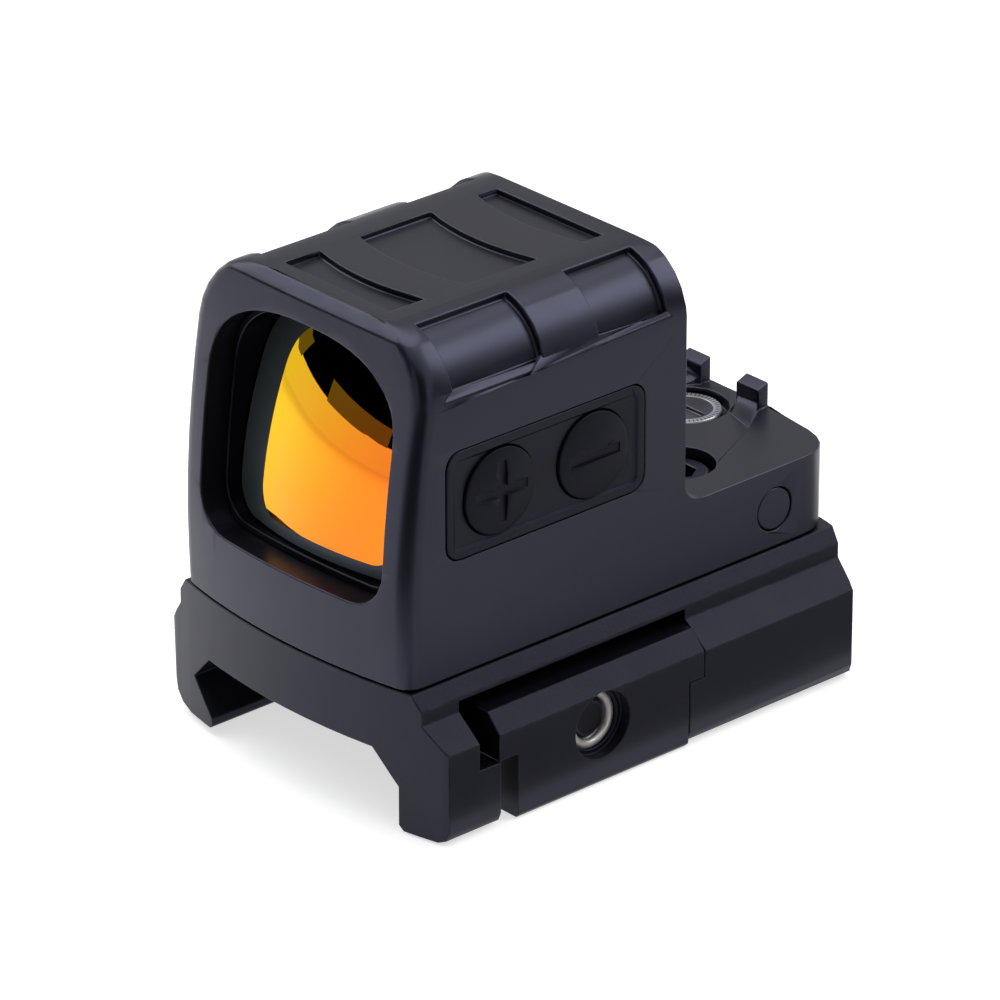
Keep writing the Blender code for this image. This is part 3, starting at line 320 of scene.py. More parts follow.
@dataclass(frozen=True)
class Finish:
    """An opaque finish with grain, slow tone changes, edges lightened as rubbed wear and as a painted
    highlight, and a little dust.

    Grain and cloud are counts per metre, and depth is the height of the grain in millimetres.
    Faces with the attribute "blast" have a second, coarser grain, blasted times as high, and
    are rougher by blast_rough.
    """

    name: str
    colour: Colour
    # The colour that broken edges lighten towards: partly wear, partly a painted edge highlight.
    rubbed_and_highlit: Colour
    metallic: float
    roughness: float
    specular: float = 0.5
    grain: float = 9000.0
    cloud: float = 220.0
    depth: float = 0.004
    tone: float = 0.16
    shine: float = 0.06
    wear_and_highlight: float = 0.35
    dust: float = 0.0
    blasted: float = 0.0
    blast_rough: float = 0.22
    sheen: Colour = (0.64, 0.66, 1.0)

    def build(self, effects: Effects) -> Material:
        """Makes the material.

        Args:
            effects: the shared shader groups.

        Returns:
            The finished material.
        """
        material, graph, shader, place = blank(self.name)
        grain = graph.add("ShaderNodeGroup", node_tree=effects.grain)
        graph.feed(grain, Vector=place, Grain=self.grain, Cloud=self.cloud)
        # Mask of the broken edges, lightened as wear and as a painted highlight.
        wear_and_highlight = graph.add("ShaderNodeGroup", node_tree=effects.wear_and_highlight)
        graph.feed(wear_and_highlight, Vector=place, Amount=self.wear_and_highlight)
        dark = tuple(c * (1.0 - self.tone) for c in self.colour)
        pale = tuple(min(c * (1.0 + self.tone), 1.0) for c in self.colour)
        colour = graph.blend(grain.outputs["Tone"], dark, pale)
        # Broken edges lighten towards the rubbed colour: partly wear, partly a painted highlight.
        colour = graph.blend(wear_and_highlight.outputs["Mask"], colour, self.rubbed_and_highlit)
        if self.dust > 0.0:
            dust = graph.add("ShaderNodeGroup", node_tree=effects.dust)
            graph.feed(dust, Vector=place, Amount=self.dust)
            colour = graph.blend(dust.outputs["Mask"], colour, DUST)
        height = grain.outputs["Height"]
        gloss = graph.spread(
            grain.outputs["Tone"], self.roughness - self.shine, self.roughness + self.shine
        )
        if self.blasted > 0.0:
            rough = graph.add("ShaderNodeAttribute", attribute_name="blast").outputs["Fac"]
            coarse = graph.add("ShaderNodeGroup", node_tree=effects.grain)
            graph.feed(coarse, Vector=place, Grain=self.grain * 0.4, Cloud=self.cloud * 3.0)
            extra = graph.math("MULTIPLY", coarse.outputs["Height"], rough)
            height = graph.math("ADD", height, graph.math("MULTIPLY", extra, self.blasted))
            gloss = graph.math("ADD", gloss, graph.math("MULTIPLY", rough, self.blast_rough))
        bump = graph.add("ShaderNodeBump")
        graph.feed(bump, Height=height, Distance=self.depth * MM, Strength=1.0)
        graph.feed(shader, Base_Color=colour, Roughness=gloss, Normal=bump.outputs["Normal"])
        graph.feed(shader, Metallic=self.metallic, Specular_IOR_Level=self.specular)
        graph.feed(shader, Specular_Tint=(*self.sheen, 1.0))
        return material


@dataclass(frozen=True)
class ClearGlass:
    """Polished clear glass."""

    name: str
    colour: Colour
    index: float = 1.52

    def build(self) -> Material:
        """Makes the material with a faint cloud in its polish."""
        material, graph, shader, place = blank(self.name)
        cloud = graph.add("ShaderNodeTexNoise")
        graph.feed(cloud, Vector=place, Scale=180.0, Detail=3.0)
        gloss = graph.spread(cloud.outputs["Fac"], 0.0, 0.012)
        tint = graph.blend(cloud.outputs["Fac"], self.colour, tuple(0.985 * c for c in self.colour))
        graph.feed(shader, Base_Color=tint, Roughness=gloss)
        graph.feed(shader, Transmission_Weight=1.0, IOR=self.index, Specular_IOR_Level=0.3)
        return material


@dataclass(frozen=True)
class AmberCoating:
    """The dichroic mirror behind the lens, whose hue drifts across it."""

    name: str
    high: Colour
    low: Colour
    mirror: float = 0.93
    across: float = 0.9
    down: float = 0.55
    clouding: float = 0.08

    def build(self, centre: Point, reach: float) -> Material:
        """Makes the material.

        Args:
            centre: middle of the lens in metres.
            reach: distance in metres over which the hue drifts from one end to the other.

        Returns:
            The coating's material.
        """
        material, graph, shader, place = blank(self.name)
        moved = graph.add("ShaderNodeMapping")
        moved.inputs["Location"].default_value = tuple(-c / reach for c in centre)
        moved.inputs["Scale"].default_value = (1.0 / reach,) * 3
        graph.feed(moved, Vector=place)
        split = graph.add("ShaderNodeSeparateXYZ")
        graph.feed(split, Vector=moved.outputs["Vector"])
        across = graph.math("MULTIPLY", split.outputs["X"], self.across)
        drift = graph.math("SUBTRACT", across, graph.math("MULTIPLY", split.outputs["Z"], self.down))
        cloud = graph.add("ShaderNodeTexNoise")
        graph.feed(cloud, Vector=place, Scale=70.0, Detail=1.0)
        drift = graph.math("ADD", drift, graph.math("MULTIPLY", cloud.outputs["Fac"], self.clouding))
        share = graph.add("ShaderNodeMapRange", interpolation_type="SMOOTHSTEP")
        graph.feed(share, Value=drift, From_Min=-0.5, From_Max=0.5)
        graph.feed(shader, Base_Color=graph.blend(share.outputs[0], self.high, self.low))
        graph.feed(shader, Metallic=self.mirror, Transmission_Weight=1.0, IOR=1.5, Roughness=0.015)
        return material


# Mesh tools


def place_mesh(name: str, form: Form) -> Piece:
    """Turns a form into an object in the scene.

    Args:
        name: the object's name.
        form: the form, which is freed.

    Returns:
        The new object, at the origin.
    """
    mesh = bpy.data.meshes.new(name)
    form.to_mesh(mesh)
    form.free()
    obj = bpy.data.objects.new(name, mesh)
    bpy.context.scene.collection.objects.link(obj)
    return obj


def settle(obj: Piece) -> Piece:
    """Applies an object's modifiers to its mesh.

    Args:
        obj: the object.

    Returns:
        The same object with a plain mesh.
    """
    bpy.context.view_layer.update()
    graph = bpy.context.evaluated_depsgraph_get()
    plain = bpy.data.meshes.new_from_object(obj.evaluated_get(graph))
    plain.name = obj.name
    obj.modifiers.clear()
    obj.data = plain
    return obj


def smooth(obj: Piece, degrees: float) -> Piece:
    """Shades an object smooth apart from edges sharper than an angle.

    Args:
        obj: the object.
        degrees: the angle.

    Returns:
        The same object.
    """
    obj.data.shade_smooth()
    obj.data.set_sharp_from_angle(angle=math.radians(degrees))
    return obj


def mark_faces(obj: Piece, name: str, test: Callable[[bpy.types.MeshPolygon], bool]) -> None:
    """Writes a face attribute of 0 or 1.

    Args:
        obj: the object.
        name: the attribute's name.
        test: says which faces get 1.
    """
    layer = obj.data.attributes.new(name, "FLOAT", "FACE")
    layer.data.foreach_set("value", [1.0 if test(face) else 0.0 for face in obj.data.polygons])


def coat(piece: Piece, material: Material) -> None:
    """Sets a piece's first material and leaves the faces' own choices as they are.

    Args:
        piece: the piece.
        material: the material.
    """
    slots = piece.data.materials
    if len(slots):
        slots[0] = material
    else:
        slots.append(material)


@dataclass
class Dresser:
    """Makes dressed copies of solids and gives them their finishes."""

    nodes: dict[str, Piece]
    sharp: float = 27.0
    crease: float = 35.0
    flat: float = 0.5
    weld: float = 0.012

    def skin(
        self,
        node: str,
        edge: Edge,
        segments: int = 2,
        merge: bool = True,
        first: Callable[[Form], None] | None = None,
    ) -> Piece:
        """Copies a solid with its sharp edges broken and its curves shaded smooth.

        Args:
            node: the solid's name.
            edge: how far the edges are broken.
            segments: steps across each broken edge.
            merge: whether flat faces are merged first.
            first: a step done before the edges are broken.

        Returns:
            The dressed copy, with a face attribute "edge" on the broken edges.
        """
        form = bmesh.new()
        form.from_mesh(self.nodes[node].data)
        bmesh.ops.remove_doubles(form, verts=form.verts, dist=self.weld * MM)
        bmesh.ops.dissolve_degenerate(form, dist=self.weld * MM, edges=form.edges)
        if merge:
            flat = math.radians(self.flat)
            bmesh.ops.dissolve_limit(form, angle_limit=flat, verts=form.verts, edges=form.edges)
        if first:
            first(form)
        obj = place_mesh(f"{node}_skin", form)
        for index in range(2):
            obj.data.materials.append(None)
        bevel = obj.modifiers.new("broken_edges", "BEVEL")
        bevel.width = edge.value * MM
        bevel.segments = segments
        bevel.limit_method = "ANGLE"
        bevel.angle_limit = math.radians(self.sharp)
        bevel.use_clamp_overlap = False
        bevel.material = 1
        settle(obj)
        mark_faces(obj, "edge", lambda face: face.material_index == 1)
        for face in obj.data.polygons:
            face.material_index = 0
        obj.data.materials.clear()
        smooth(obj, self.crease)
        weighted = obj.modifiers.new("flat_faces", "WEIGHTED_NORMAL")
        weighted.keep_sharp = True
        weighted.weight = 60
        return settle(obj)

    def stand_in(
        self, piece: Piece, node: str, body: Body, material: Material, slot: str
    ) -> Piece:
        """Lets a piece stand for a solid.

        Args:
            piece: the piece.
            node: the solid that it replaces.
            body: the body that it moves with.
            material: its material.
            slot: not used.

        Returns:
            The same piece.
        """
        coat(piece, material)
        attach(piece, body.value)
        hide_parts(node)
        LOG.info("%s stands for %s", piece.name, node)
        return piece

    def dress(
        self, node: str, edge: Edge, body: Body, material: Material, slot: str, **more: Any
    ) -> Piece:
        """Copies a solid with broken edges and lets the copy stand for it.

        Args:
            node: the solid's name.
            edge: how far its edges are broken.
            body: the body that it moves with.
            material: its material.
            slot: the record's material slot.
            more: further arguments of skin.

        Returns:
            The dressed copy.
        """
        return self.stand_in(self.skin(node, edge, **more), node, body, material, slot)

    def add_on(
        self, piece: Piece, body: Body, material: Material, slot: str
    ) -> Piece:
        """Adds a piece that no solid stands for.

        Args:
            piece: the piece.
            body: the body that it moves with.
            material: its material.
            slot: not used.

        Returns:
            The same piece.
        """
        coat(piece, material)
        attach(piece, body.value)
        LOG.info("%s added", piece.name)
        return piece

    def paint(self, node: str, material: Material) -> None:
        """Gives a solid that stays as it is a better material.

        Args:
            node: the solid's name.
            material: the material.
        """
        data = self.nodes[node].data
        data.materials.clear()
        data.materials.append(material)
        LOG.info("%s painted", node)


@dataclass(frozen=True)
class Palette:
    """Every finish of the finder."""

    housing: Material
    clamp: Material
    frame: Material
    pad: Material
    key: Material
    dial: Material
    ticks: Material
    scale: Material
    screw: Material
    bright: Material
    seal: Material
    brass: Material
    board: Material
    film: Material
    cell: Material
    diode: Material
    clear: Material
    ground: Material
    rim: Material

    @classmethod
    def build(cls) -> Palette:
        """Makes all the materials."""
        effects = Effects.build()
        black = (0.0032, 0.0033, 0.0046)

        def make(
            name: str, colour: Colour, rubbed_and_highlit: Colour, metal: float, rough: float, **more: float
        ) -> Material:
            """Makes one opaque finish."""
            return Finish(name, colour, rubbed_and_highlit, metal, rough, **more).build(effects)

        # The second colour of each finish lightens its broken edges, as wear and as a painted
        # highlight.
        return cls(
            housing=make(
                "anodised_housing", black, (0.03, 0.031, 0.037), 0.0, 0.34, specular=0.56, dust=0.06
            ),
            clamp=make(
                "anodised_clamp", (0.0028, 0.0029, 0.004), (0.03, 0.03, 0.036), 0.0, 0.36,
                specular=0.38, blasted=3.2, depth=0.005,
            ),
            frame=make(
                "polished_frame", (0.002, 0.002, 0.0026), (0.02, 0.02, 0.023), 0.0, 0.22,
                specular=0.3, depth=0.001,
            ),
            pad=make("pad_rubber", black, (0.012, 0.012, 0.015), 0.0, 0.5, specular=0.34),
            key=make(
                "key_rubber", (0.0024, 0.0025, 0.0035), (0.012, 0.012, 0.015), 0.0, 0.46,
                specular=0.22,
            ),
            dial=make("dial_steel", (0.09, 0.09, 0.095), (0.3, 0.3, 0.31), 0.7, 0.34),
            ticks=make(
                "tick_paint", (0.012, 0.012, 0.013), (0.03, 0.03, 0.03), 0.0, 0.5, depth=0.001
            ),
            scale=make("bright_scale", (0.55, 0.55, 0.57), (0.7, 0.7, 0.72), 0.9, 0.3, depth=0.001),
            screw=make("blackened_steel", (0.03, 0.03, 0.033), (0.22, 0.22, 0.23), 0.85, 0.32),
            bright=make(
                "bright_wire", (0.62, 0.60, 0.57), (0.74, 0.73, 0.70), 0.55, 0.36, depth=0.001
            ),
            seal=make("seal_rubber", (0.01, 0.01, 0.011), (0.02, 0.02, 0.02), 0.0, 0.7),
            brass=make("machined_brass", (0.62, 0.43, 0.15), (0.72, 0.54, 0.24), 1.0, 0.28),
            board=make(
                "solder_mask", (0.012, 0.09, 0.04), (0.05, 0.16, 0.08), 0.0, 0.35, cloud=900.0
            ),
            film=make("amber_film", (0.4, 0.16, 0.025), (0.5, 0.24, 0.05), 0.0, 0.32),
            cell=make("nickel_can", (0.68, 0.67, 0.65), (0.8, 0.8, 0.78), 1.0, 0.24, depth=0.002),
            diode=make("diode_lens", (0.5, 0.02, 0.015), (0.6, 0.1, 0.1), 0.0, 0.12, depth=0.001),
            clear=ClearGlass("window_glass", (0.97, 0.99, 0.985)).build(),
            ground=make("ground_glass_edge", (0.085, 0.095, 0.1), (0.2, 0.2, 0.2), 0.0, 0.55),
            rim=make(
                "plain_glass_rim", (0.052, 0.062, 0.066), (0.09, 0.09, 0.09), 0.0, 0.3, depth=0.001
            ),
        )


# Sub-assemblies


@dataclass
class Housing:
    """The closed body with its rear glass, plug and deck screws.

    The lower lip of each recess in the hood's edges lies at ledge_x and ledge_z.
    """

    dresser: Dresser
    palette: Palette
    ledge_x: float = 11.643
    ledge_z: float = 31.519
    ledge: float = 0.5
    lip_reach: float = 0.12

    def slope_ledges(self, form: Form) -> None:
        """Slopes the lower lip of each edge recess.

        Args:
            form: the body's form.
        """
        spot = Vector((self.ledge_x, self.ledge_z)) * MM

        def on_lip(vert: bmesh.types.BMVert) -> bool:
            """Says whether a point is on a lip."""
            away = Vector((abs(vert.co.x), vert.co.z)) - spot
            return max(abs(away.x), abs(away.y)) < self.lip_reach * MM

        lips = [edge for edge in form.edges if all(on_lip(vert) for vert in edge.verts)]
        LOG.info("%d recess lips", len(lips))
        bmesh.ops.bevel(
            form,
            geom=lips,
            offset=self.ledge * MM,
            offset_type="OFFSET",
            segments=1,
            profile=0.5,
            affect="EDGES",
        )

    def build(self) -> None:
        """Dresses the body and the pieces fixed in it."""
        dress, palette = self.dresser.dress, self.palette
        dress(
            "housing", Edge.EASED, Body.SIGHT, palette.housing, "black_anodised",
            segments=3, merge=False, first=self.slope_ledges,
        )
        dress("side_plug", Edge.CRISP, Body.SIGHT, palette.housing, "black_anodised")
        dress("rear_bezel", Edge.CRISP, Body.SIGHT, palette.frame, "black_anodised")
        dress("rear_window", Edge.BROKEN, Body.SIGHT, palette.clear, "clear_glass")
        for tag in ("left", "right"):
            dress(f"housing_screw_{tag}", Edge.BROKEN, Body.SIGHT, palette.screw, "black_steel")


@dataclass
class Optics:
    """The leaning lens with its coating, frame and seal.

    The coating stops at the rim, wider by left_rim at the left, and the outermost part of the
    rim, as wide as blacked, is black.
    """

    dresser: Dresser
    palette: Palette
    half: float = 9.4
    bottom: float = 16.0
    spring: float = 27.5
    top: float = 33.25
    corner: float = 2.9
    least_corner: float = 2.175
    power: float = 2.5
    inset: float = 0.08
    front: float = -20.9
    depth: float = 3.7
    lean: float = 0.3
    bow: float = 27.0
    thick: float = 1.5
    chamfer: float = 0.12
    rim: float = 1.5
    left_rim: float = 2.3
    blacked: float = 0.62
    rings: int = 14
    sight_line: Point = (-0.67169, 0.60201, -0.43177)
    wall_depth: float = 3.6
    least_room: float = 0.4
    drift: float = 16.0
    flat_steps: int = 12
    corner_steps: int = 16
    side_steps: int = 8
    arch_steps: int = 64

    def outline(self, inset: float, narrow: float = 0.0) -> list[Flat]:
        """Walks round the arched window.

        Args:
            inset: how far inside the opening the outline lies.
            narrow: how much further inside it lies at the left.

        Returns:
            Points in X and Z, anticlockwise as the lens is seen from the front right.
        """
        half = self.half - inset
        low = self.bottom + inset
        radius = max(self.corner - inset, self.least_corner)
        rise = self.top - inset - self.spring
        mid, base = half - radius, low + radius
        side = [i / self.side_steps for i in range(1, self.side_steps)]
        bends = [i / self.corner_steps * math.pi / 2 for i in range(self.corner_steps + 1)]
        points: list[Flat] = []
        for i in range(1, self.flat_steps):
            points.append((-mid + 2 * mid * i / self.flat_steps, low))
        for turn in bends:
            points.append((mid + radius * math.sin(turn), base - radius * math.cos(turn)))
        points += [(half, base + (self.spring - base) * share) for share in side]
        for i in range(self.arch_steps + 1):
            turn = math.pi * i / self.arch_steps
            wide = math.copysign(abs(math.cos(turn)) ** (2 / self.power), math.cos(turn))
            points.append((half * wide, self.spring + rise * abs(math.sin(turn)) ** (2 / self.power)))
        points += [(-half, self.spring - (self.spring - base) * share) for share in side]
        for turn in bends:
            points.append((-mid - radius * math.cos(turn), base - radius * math.sin(turn)))
        return [(x + narrow * max(-x, 0.0) / half, z) for x, z in points]

    def middle(self) -> float:
        """Height of the lens axis."""
        return (self.bottom + self.top) / 2

    def surface(self, x: float, z: float, back: float) -> Point:
        """A point on the leaning, bowed lens form.

        Args:
            x: place across.
            z: height.
            back: distance behind the front of the lens.

        Returns:
            The point in metres.
        """
        up = z - self.middle()
        y = self.front + self.depth + self.lean * up + (x * x + up * up) / (2 * self.bow) + back
        return (x * MM, y * MM, z * MM)

    def lens(self) -> Piece:
        """Makes the lens: coated front with a plain and a blacked rim, ground wall and clear back.

        Returns:
            The lens object, with material indices 0 coating, 1 plain rim, 2 wall, 3 back and
            4 blacked rim.
        """
        form = bmesh.new()
        edge = self.outline(self.inset)
        inner = self.outline(self.inset + self.chamfer)
        band = self.outline(self.inset + self.blacked)
        field = self.outline(self.inset + self.rim, self.left_rim)
        shares = [(i + 1) / self.rings for i in range(self.rings)]
        loops = [self.loop(form, field, share, 0.0) for share in shares]
        loops.append(self.loop(form, band, 1.0, 0.0))
        loops.append(self.loop(form, inner, 1.0, 0.0))
        loops.append(self.loop(form, edge, 1.0, self.chamfer))
        loops.append(self.loop(form, edge, 1.0, self.thick))
        loops += [self.loop(form, edge, share, self.thick) for share in shares[-2::-1]]
        count = len(edge)
        for row in range(len(loops) - 1):
            region = min(max(row - self.rings + 2, 0), 5)
            for i in range(count):
                j = (i + 1) % count
                one, two = loops[row], loops[row + 1]
                face = form.faces.new((one[i], one[j], two[j], two[i]))
                face.material_index = (0, 1, 4, 2, 2, 3)[region]
        for loop, index, back in ((loops[0], 0, 0.0), (loops[-1], 3, self.thick)):
            pole = form.verts.new(self.surface(0.0, self.middle(), back))
            for i in range(count):
                face = form.faces.new((loop[i], loop[(i + 1) % count], pole))
                face.material_index = index
        bmesh.ops.recalc_face_normals(form, faces=form.faces)
        lens = smooth(place_mesh("coated_lens", form), 30.0)
        self.steer(lens.data)
        return lens

    def steer(self, mesh: bpy.types.Mesh) -> None:
        """Turns the coating's shading so that its left side looks out past the recess wall.

        Args:
            mesh: the lens mesh.
        """
        line = Vector(self.sight_line)
        normals = [Vector(corner.vector) for corner in mesh.corner_normals]
        for face in mesh.polygons:
            if face.material_index != 0:
                continue
            for index in face.loop_indices:
                spot = mesh.vertices[mesh.loops[index].vertex_index].co / MM
                plain = normals[index]
                out = line - 2.0 * line.dot(plain) * plain
                flat = math.hypot(out.x, out.y)
                up = spot.z - self.middle()
                bowed = self.lean * up + (spot.x**2 + up * up) / (2 * self.bow)
                deep = self.wall_depth + max(bowed, 0.0)
                over = max(spot.z - self.spring, 0.0) / (self.top - self.spring)
                side = self.half * max(1.0 - over**self.power, 0.0) ** (1.0 / self.power)
                room = max(spot.x + side, self.least_room)
                turn = min(math.atan2(-out.x, -out.y), math.atan2(room, deep))
                aim = Vector((-flat * math.sin(turn), -flat * math.cos(turn), out.z))
                normals[index] = (aim - line).normalized()
        mesh.normals_split_custom_set([tuple(n) for n in normals])

    def loop(
        self, form: Form, outline: Sequence[Flat], share: float, back: float
    ) -> list[bmesh.types.BMVert]:
        """Lays one ring of points on the lens form.

        Args:
            form: the form to add to.
            outline: the rim.
            share: how far out the ring lies, from 0 to 1.
            back: distance behind the lens front.

        Returns:
            The ring's points.
        """
        mid = self.middle()
        return [
            form.verts.new(self.surface(x * share, mid + (z - mid) * share, back)) for x, z in outline
        ]

    def build(self) -> None:
        """Dresses the lens and what holds it."""
        glass = ClearGlass("lens_glass", (0.985, 0.99, 0.99)).build()
        amber = AmberCoating("amber_coating", high=(0.86, 0.53, 0.003), low=(1.0, 0.22, 0.012))
        centre = self.surface(0.0, self.middle(), 0.0)
        coating = amber.build(centre, self.drift * MM)
        lens = self.lens()
        self.dresser.stand_in(lens, "objective_lens", Body.SIGHT, coating, "coated_glass")
        for material in (self.palette.rim, self.palette.ground, glass, self.palette.frame):
            lens.data.materials.append(material)
        self.dresser.dress(
            "lens_retainer", Edge.BROKEN, Body.SIGHT, self.palette.frame, "black_anodised", segments=3
        )
        self.dresser.paint("lens_seal", self.palette.seal)


@dataclass
class Keypad:
    """The rubber pad with its two keys and what lies under them."""

    dresser: Dresser
    palette: Palette

    def build(self) -> None:
        """Dresses the pad and the keys."""
        dress = self.dresser.dress
        dress("keypad", Edge.BROKEN, Body.SIGHT, self.palette.pad, "black_rubber", merge=False)
        for tag, body in (("plus", Body.PLUS), ("minus", Body.MINUS)):
            dress(f"{tag}_button", Edge.CRISP, body, self.palette.key, "black_rubber", merge=False)
            self.dresser.paint(f"{tag}_dome", self.palette.bright)
        self.dresser.paint("keypad_flex", self.palette.film)


def start_tree(
    name: str, inputs: Sequence[tuple[str, str]]
) -> tuple[Graph, bpy.types.NodeOutputs]:
    """Starts a geometry tree with named inputs, a material and one geometry output.

    Args:
        name: the tree's name.
        inputs: name and socket type of each input.

    Returns:
        The tree's graph and the sockets of its Group Input.
    """
    tree = bpy.data.node_groups.new(name, "GeometryNodeTree")
    face = tree.interface
    face.new_socket("Geometry", in_out="INPUT", socket_type="NodeSocketGeometry")
    for label, kind in (*inputs, ("Finish", "NodeSocketMaterial")):
        face.new_socket(label, in_out="INPUT", socket_type=kind)
    face.new_socket("Geometry", in_out="OUTPUT", socket_type="NodeSocketGeometry")
    graph = Graph(tree)
    return graph, graph.add("NodeGroupInput").outputs


def end_tree(
    graph: Graph, shape: Socket, finish: Socket
) -> Tree:
    """Makes a tree's instances real, paints them and joins them to the output.

    Args:
        graph: the tree's graph.
        shape: the geometry.
        finish: the material.

    Returns:
        The finished tree.
    """
    real = graph.add("GeometryNodeRealizeInstances")
    graph.feed(real, Geometry=shape)
    paint = graph.add("GeometryNodeSetMaterial")
    graph.feed(paint, Geometry=real.outputs["Geometry"], Material=finish)
    graph.feed(graph.add("NodeGroupOutput"), Geometry=paint.outputs["Geometry"])
    return graph.tree


def tick_tree() -> Tree:
    """Builds the tree that sets marks round a dial.

    Returns:
        A geometry tree with inputs for the count, radius, and the mark's length, width and height.
    """
    sizes = tuple((label, "NodeSocketFloat") for label in ("Radius", "Length", "Width", "Height"))
    graph, inside = start_tree("dial_marks", (("Count", "NodeSocketInt"), *sizes))
    ring = graph.add("GeometryNodeMeshCircle")
    graph.feed(ring, Vertices=inside["Count"], Radius=inside["Radius"])
    size = graph.add("ShaderNodeCombineXYZ")
    graph.feed(size, X=inside["Length"], Y=inside["Width"], Z=inside["Height"])
    mark = graph.add("GeometryNodeMeshCube")
    graph.feed(mark, Size=size.outputs["Vector"])
    spot = graph.add("GeometryNodeInputPosition")
    turn = graph.add("FunctionNodeAlignRotationToVector", axis="X")
    graph.feed(turn, Vector=spot.outputs["Position"])
    copies = graph.add("GeometryNodeInstanceOnPoints")
    graph.feed(copies, Points=ring.outputs["Mesh"], Instance=mark.outputs["Mesh"])
    graph.feed(copies, Rotation=turn.outputs["Rotation"])
    return end_tree(graph, copies.outputs["Instances"], inside["Finish"])


def grow(name: str, tree: Tree, values: dict[str, Any]) -> Piece:
    """Runs a geometry tree on an empty mesh and keeps the plain result.

    Args:
        name: the new object's name.
        tree: the tree.
        values: a value for each named input.

    Returns:
        The object with a plain mesh.
    """
    obj = place_mesh(name, bmesh.new())
    step = obj.modifiers.new("made", "NODES")
    step.node_group = tree
    for item in tree.interface.items_tree:
        if item.in_out == "INPUT" and item.name in values:
            step[item.identifier] = values[item.name]
    return settle(obj)


@dataclass
class Adjusters:
    """The two slotted dials with their scales, and the seals under them."""

    dresser: Dresser
    palette: Palette
    elevation: Point = (0.0, 16.6, 16.55)
    windage: Point = (-11.5, 14.05, 13.65)
    windage_share: float = 0.84
    scale_out: float = 2.5
    scale_in: float = 1.92
    scale_foot: float = -0.02
    lip: float = 0.025
    steps: int = 72
    marks: int = 48
    mark_radius: float = 2.28
    mark_length: float = 0.36
    mark_width: float = 0.075
    mark_height: float = 0.03
    mark_lift: float = 0.045

    def scale_ring(self, name: str, out: float, inside: float) -> Piece:
        """Turns a thin flat ring with rounded lips, facing +Z at the origin.

        Args:
            name: the ring's name.
            out: outer radius.
            inside: inner radius.

        Returns:
            The ring.
        """
        lip, foot = self.lip, self.scale_foot
        profile = (
            (inside, foot),
            (inside, lip),
            (inside + lip, 2 * lip),
            (out - lip, 2 * lip),
            (out, lip),
            (out, foot),
        )
        form = bmesh.new()
        loops = []
        for i in range(self.steps):
            turn = Matrix.Rotation(2 * math.pi * i / self.steps, 3, "Z")
            loops.append([form.verts.new(turn @ Vector((r, 0.0, z)) * MM) for r, z in profile])
        for i in range(self.steps):
            a, b = loops[i], loops[(i + 1) % self.steps]
            for j in range(len(profile)):
                k = (j + 1) % len(profile)
                form.faces.new((a[j], b[j], b[k], a[k]))
        bmesh.ops.recalc_face_normals(form, faces=form.faces)
        return smooth(place_mesh(name, form), 40.0)

    def dial(self, tag: str, body: Body, place: Matrix, reach: float) -> None:
        """Dresses one dial.

        Args:
            tag: elevation or windage.
            body: the body that it turns with.
            place: moves a ring that faces +Z at the origin onto the dial.
            reach: size of the scale against the elevation dial's.
        """
        self.dresser.dress(f"{tag}_screw", Edge.BROKEN, body, self.palette.dial, "black_steel")
        ring = self.scale_ring(f"{tag}_scale", self.scale_out * reach, self.scale_in * reach)
        ring.data.transform(place)
        self.dresser.add_on(ring, body, self.palette.scale, "bright_steel")
        marks = grow(
            f"{tag}_marks",
            tick_tree(),
            {
                "Count": self.marks,
                "Radius": self.mark_radius * reach * MM,
                "Length": self.mark_length * reach * MM,
                "Width": self.mark_width * reach * MM,
                "Height": self.mark_height * MM,
                "Finish": self.palette.ticks,
            },
        )
        marks.data.transform(place @ Matrix.Translation((0.0, 0.0, self.mark_lift * MM)))
        self.dresser.add_on(marks, body, self.palette.ticks, "black_steel")
        self.dresser.paint(f"{tag}_ring", self.palette.seal)

    def build(self) -> None:
        """Dresses both dials."""
        up = Matrix.Translation(Vector(self.elevation) * MM)
        self.dial("elevation", Body.ELEVATION, up, 1.0)
        turn = Matrix.Rotation(math.radians(-90), 4, "Y")
        left = Matrix.Translation(Vector(self.windage) * MM) @ turn
        self.dial("windage", Body.WINDAGE, left, self.windage_share)


@dataclass
class Inside:
    """The light source, its slider, the boards and the closing plate."""

    dresser: Dresser
    palette: Palette

    def build(self) -> None:
        """Gives each inner piece its finish."""
        finishes = {
            "windage_block": self.palette.brass,
            "windage_spring": self.palette.bright,
            "emitter_arm": self.palette.seal,
            "emitter_board": self.palette.board,
            "emitter_led": self.palette.diode,
            "control_board": self.palette.board,
            "bottom_plate": self.palette.clamp,
            "base_gasket": self.palette.seal,
            "contact_upper": self.palette.brass,
            "contact_end": self.palette.brass,
        }
        for node, material in finishes.items():
            self.dresser.paint(node, material)


@dataclass
class Drawer:
    """The battery drawer with its cell and screw."""

    dresser: Dresser
    palette: Palette

    def build(self) -> None:
        """Dresses the drawer."""
        dress, palette = self.dresser.dress, self.palette
        dress("battery_tray", Edge.BROKEN, Body.DRAWER, palette.housing, "black_anodised")
        dress("coin_cell", Edge.BROKEN, Body.DRAWER, palette.cell, "cell_steel")
        dress("tray_screw", Edge.CRISP, Body.DRAWER, palette.screw, "black_steel")


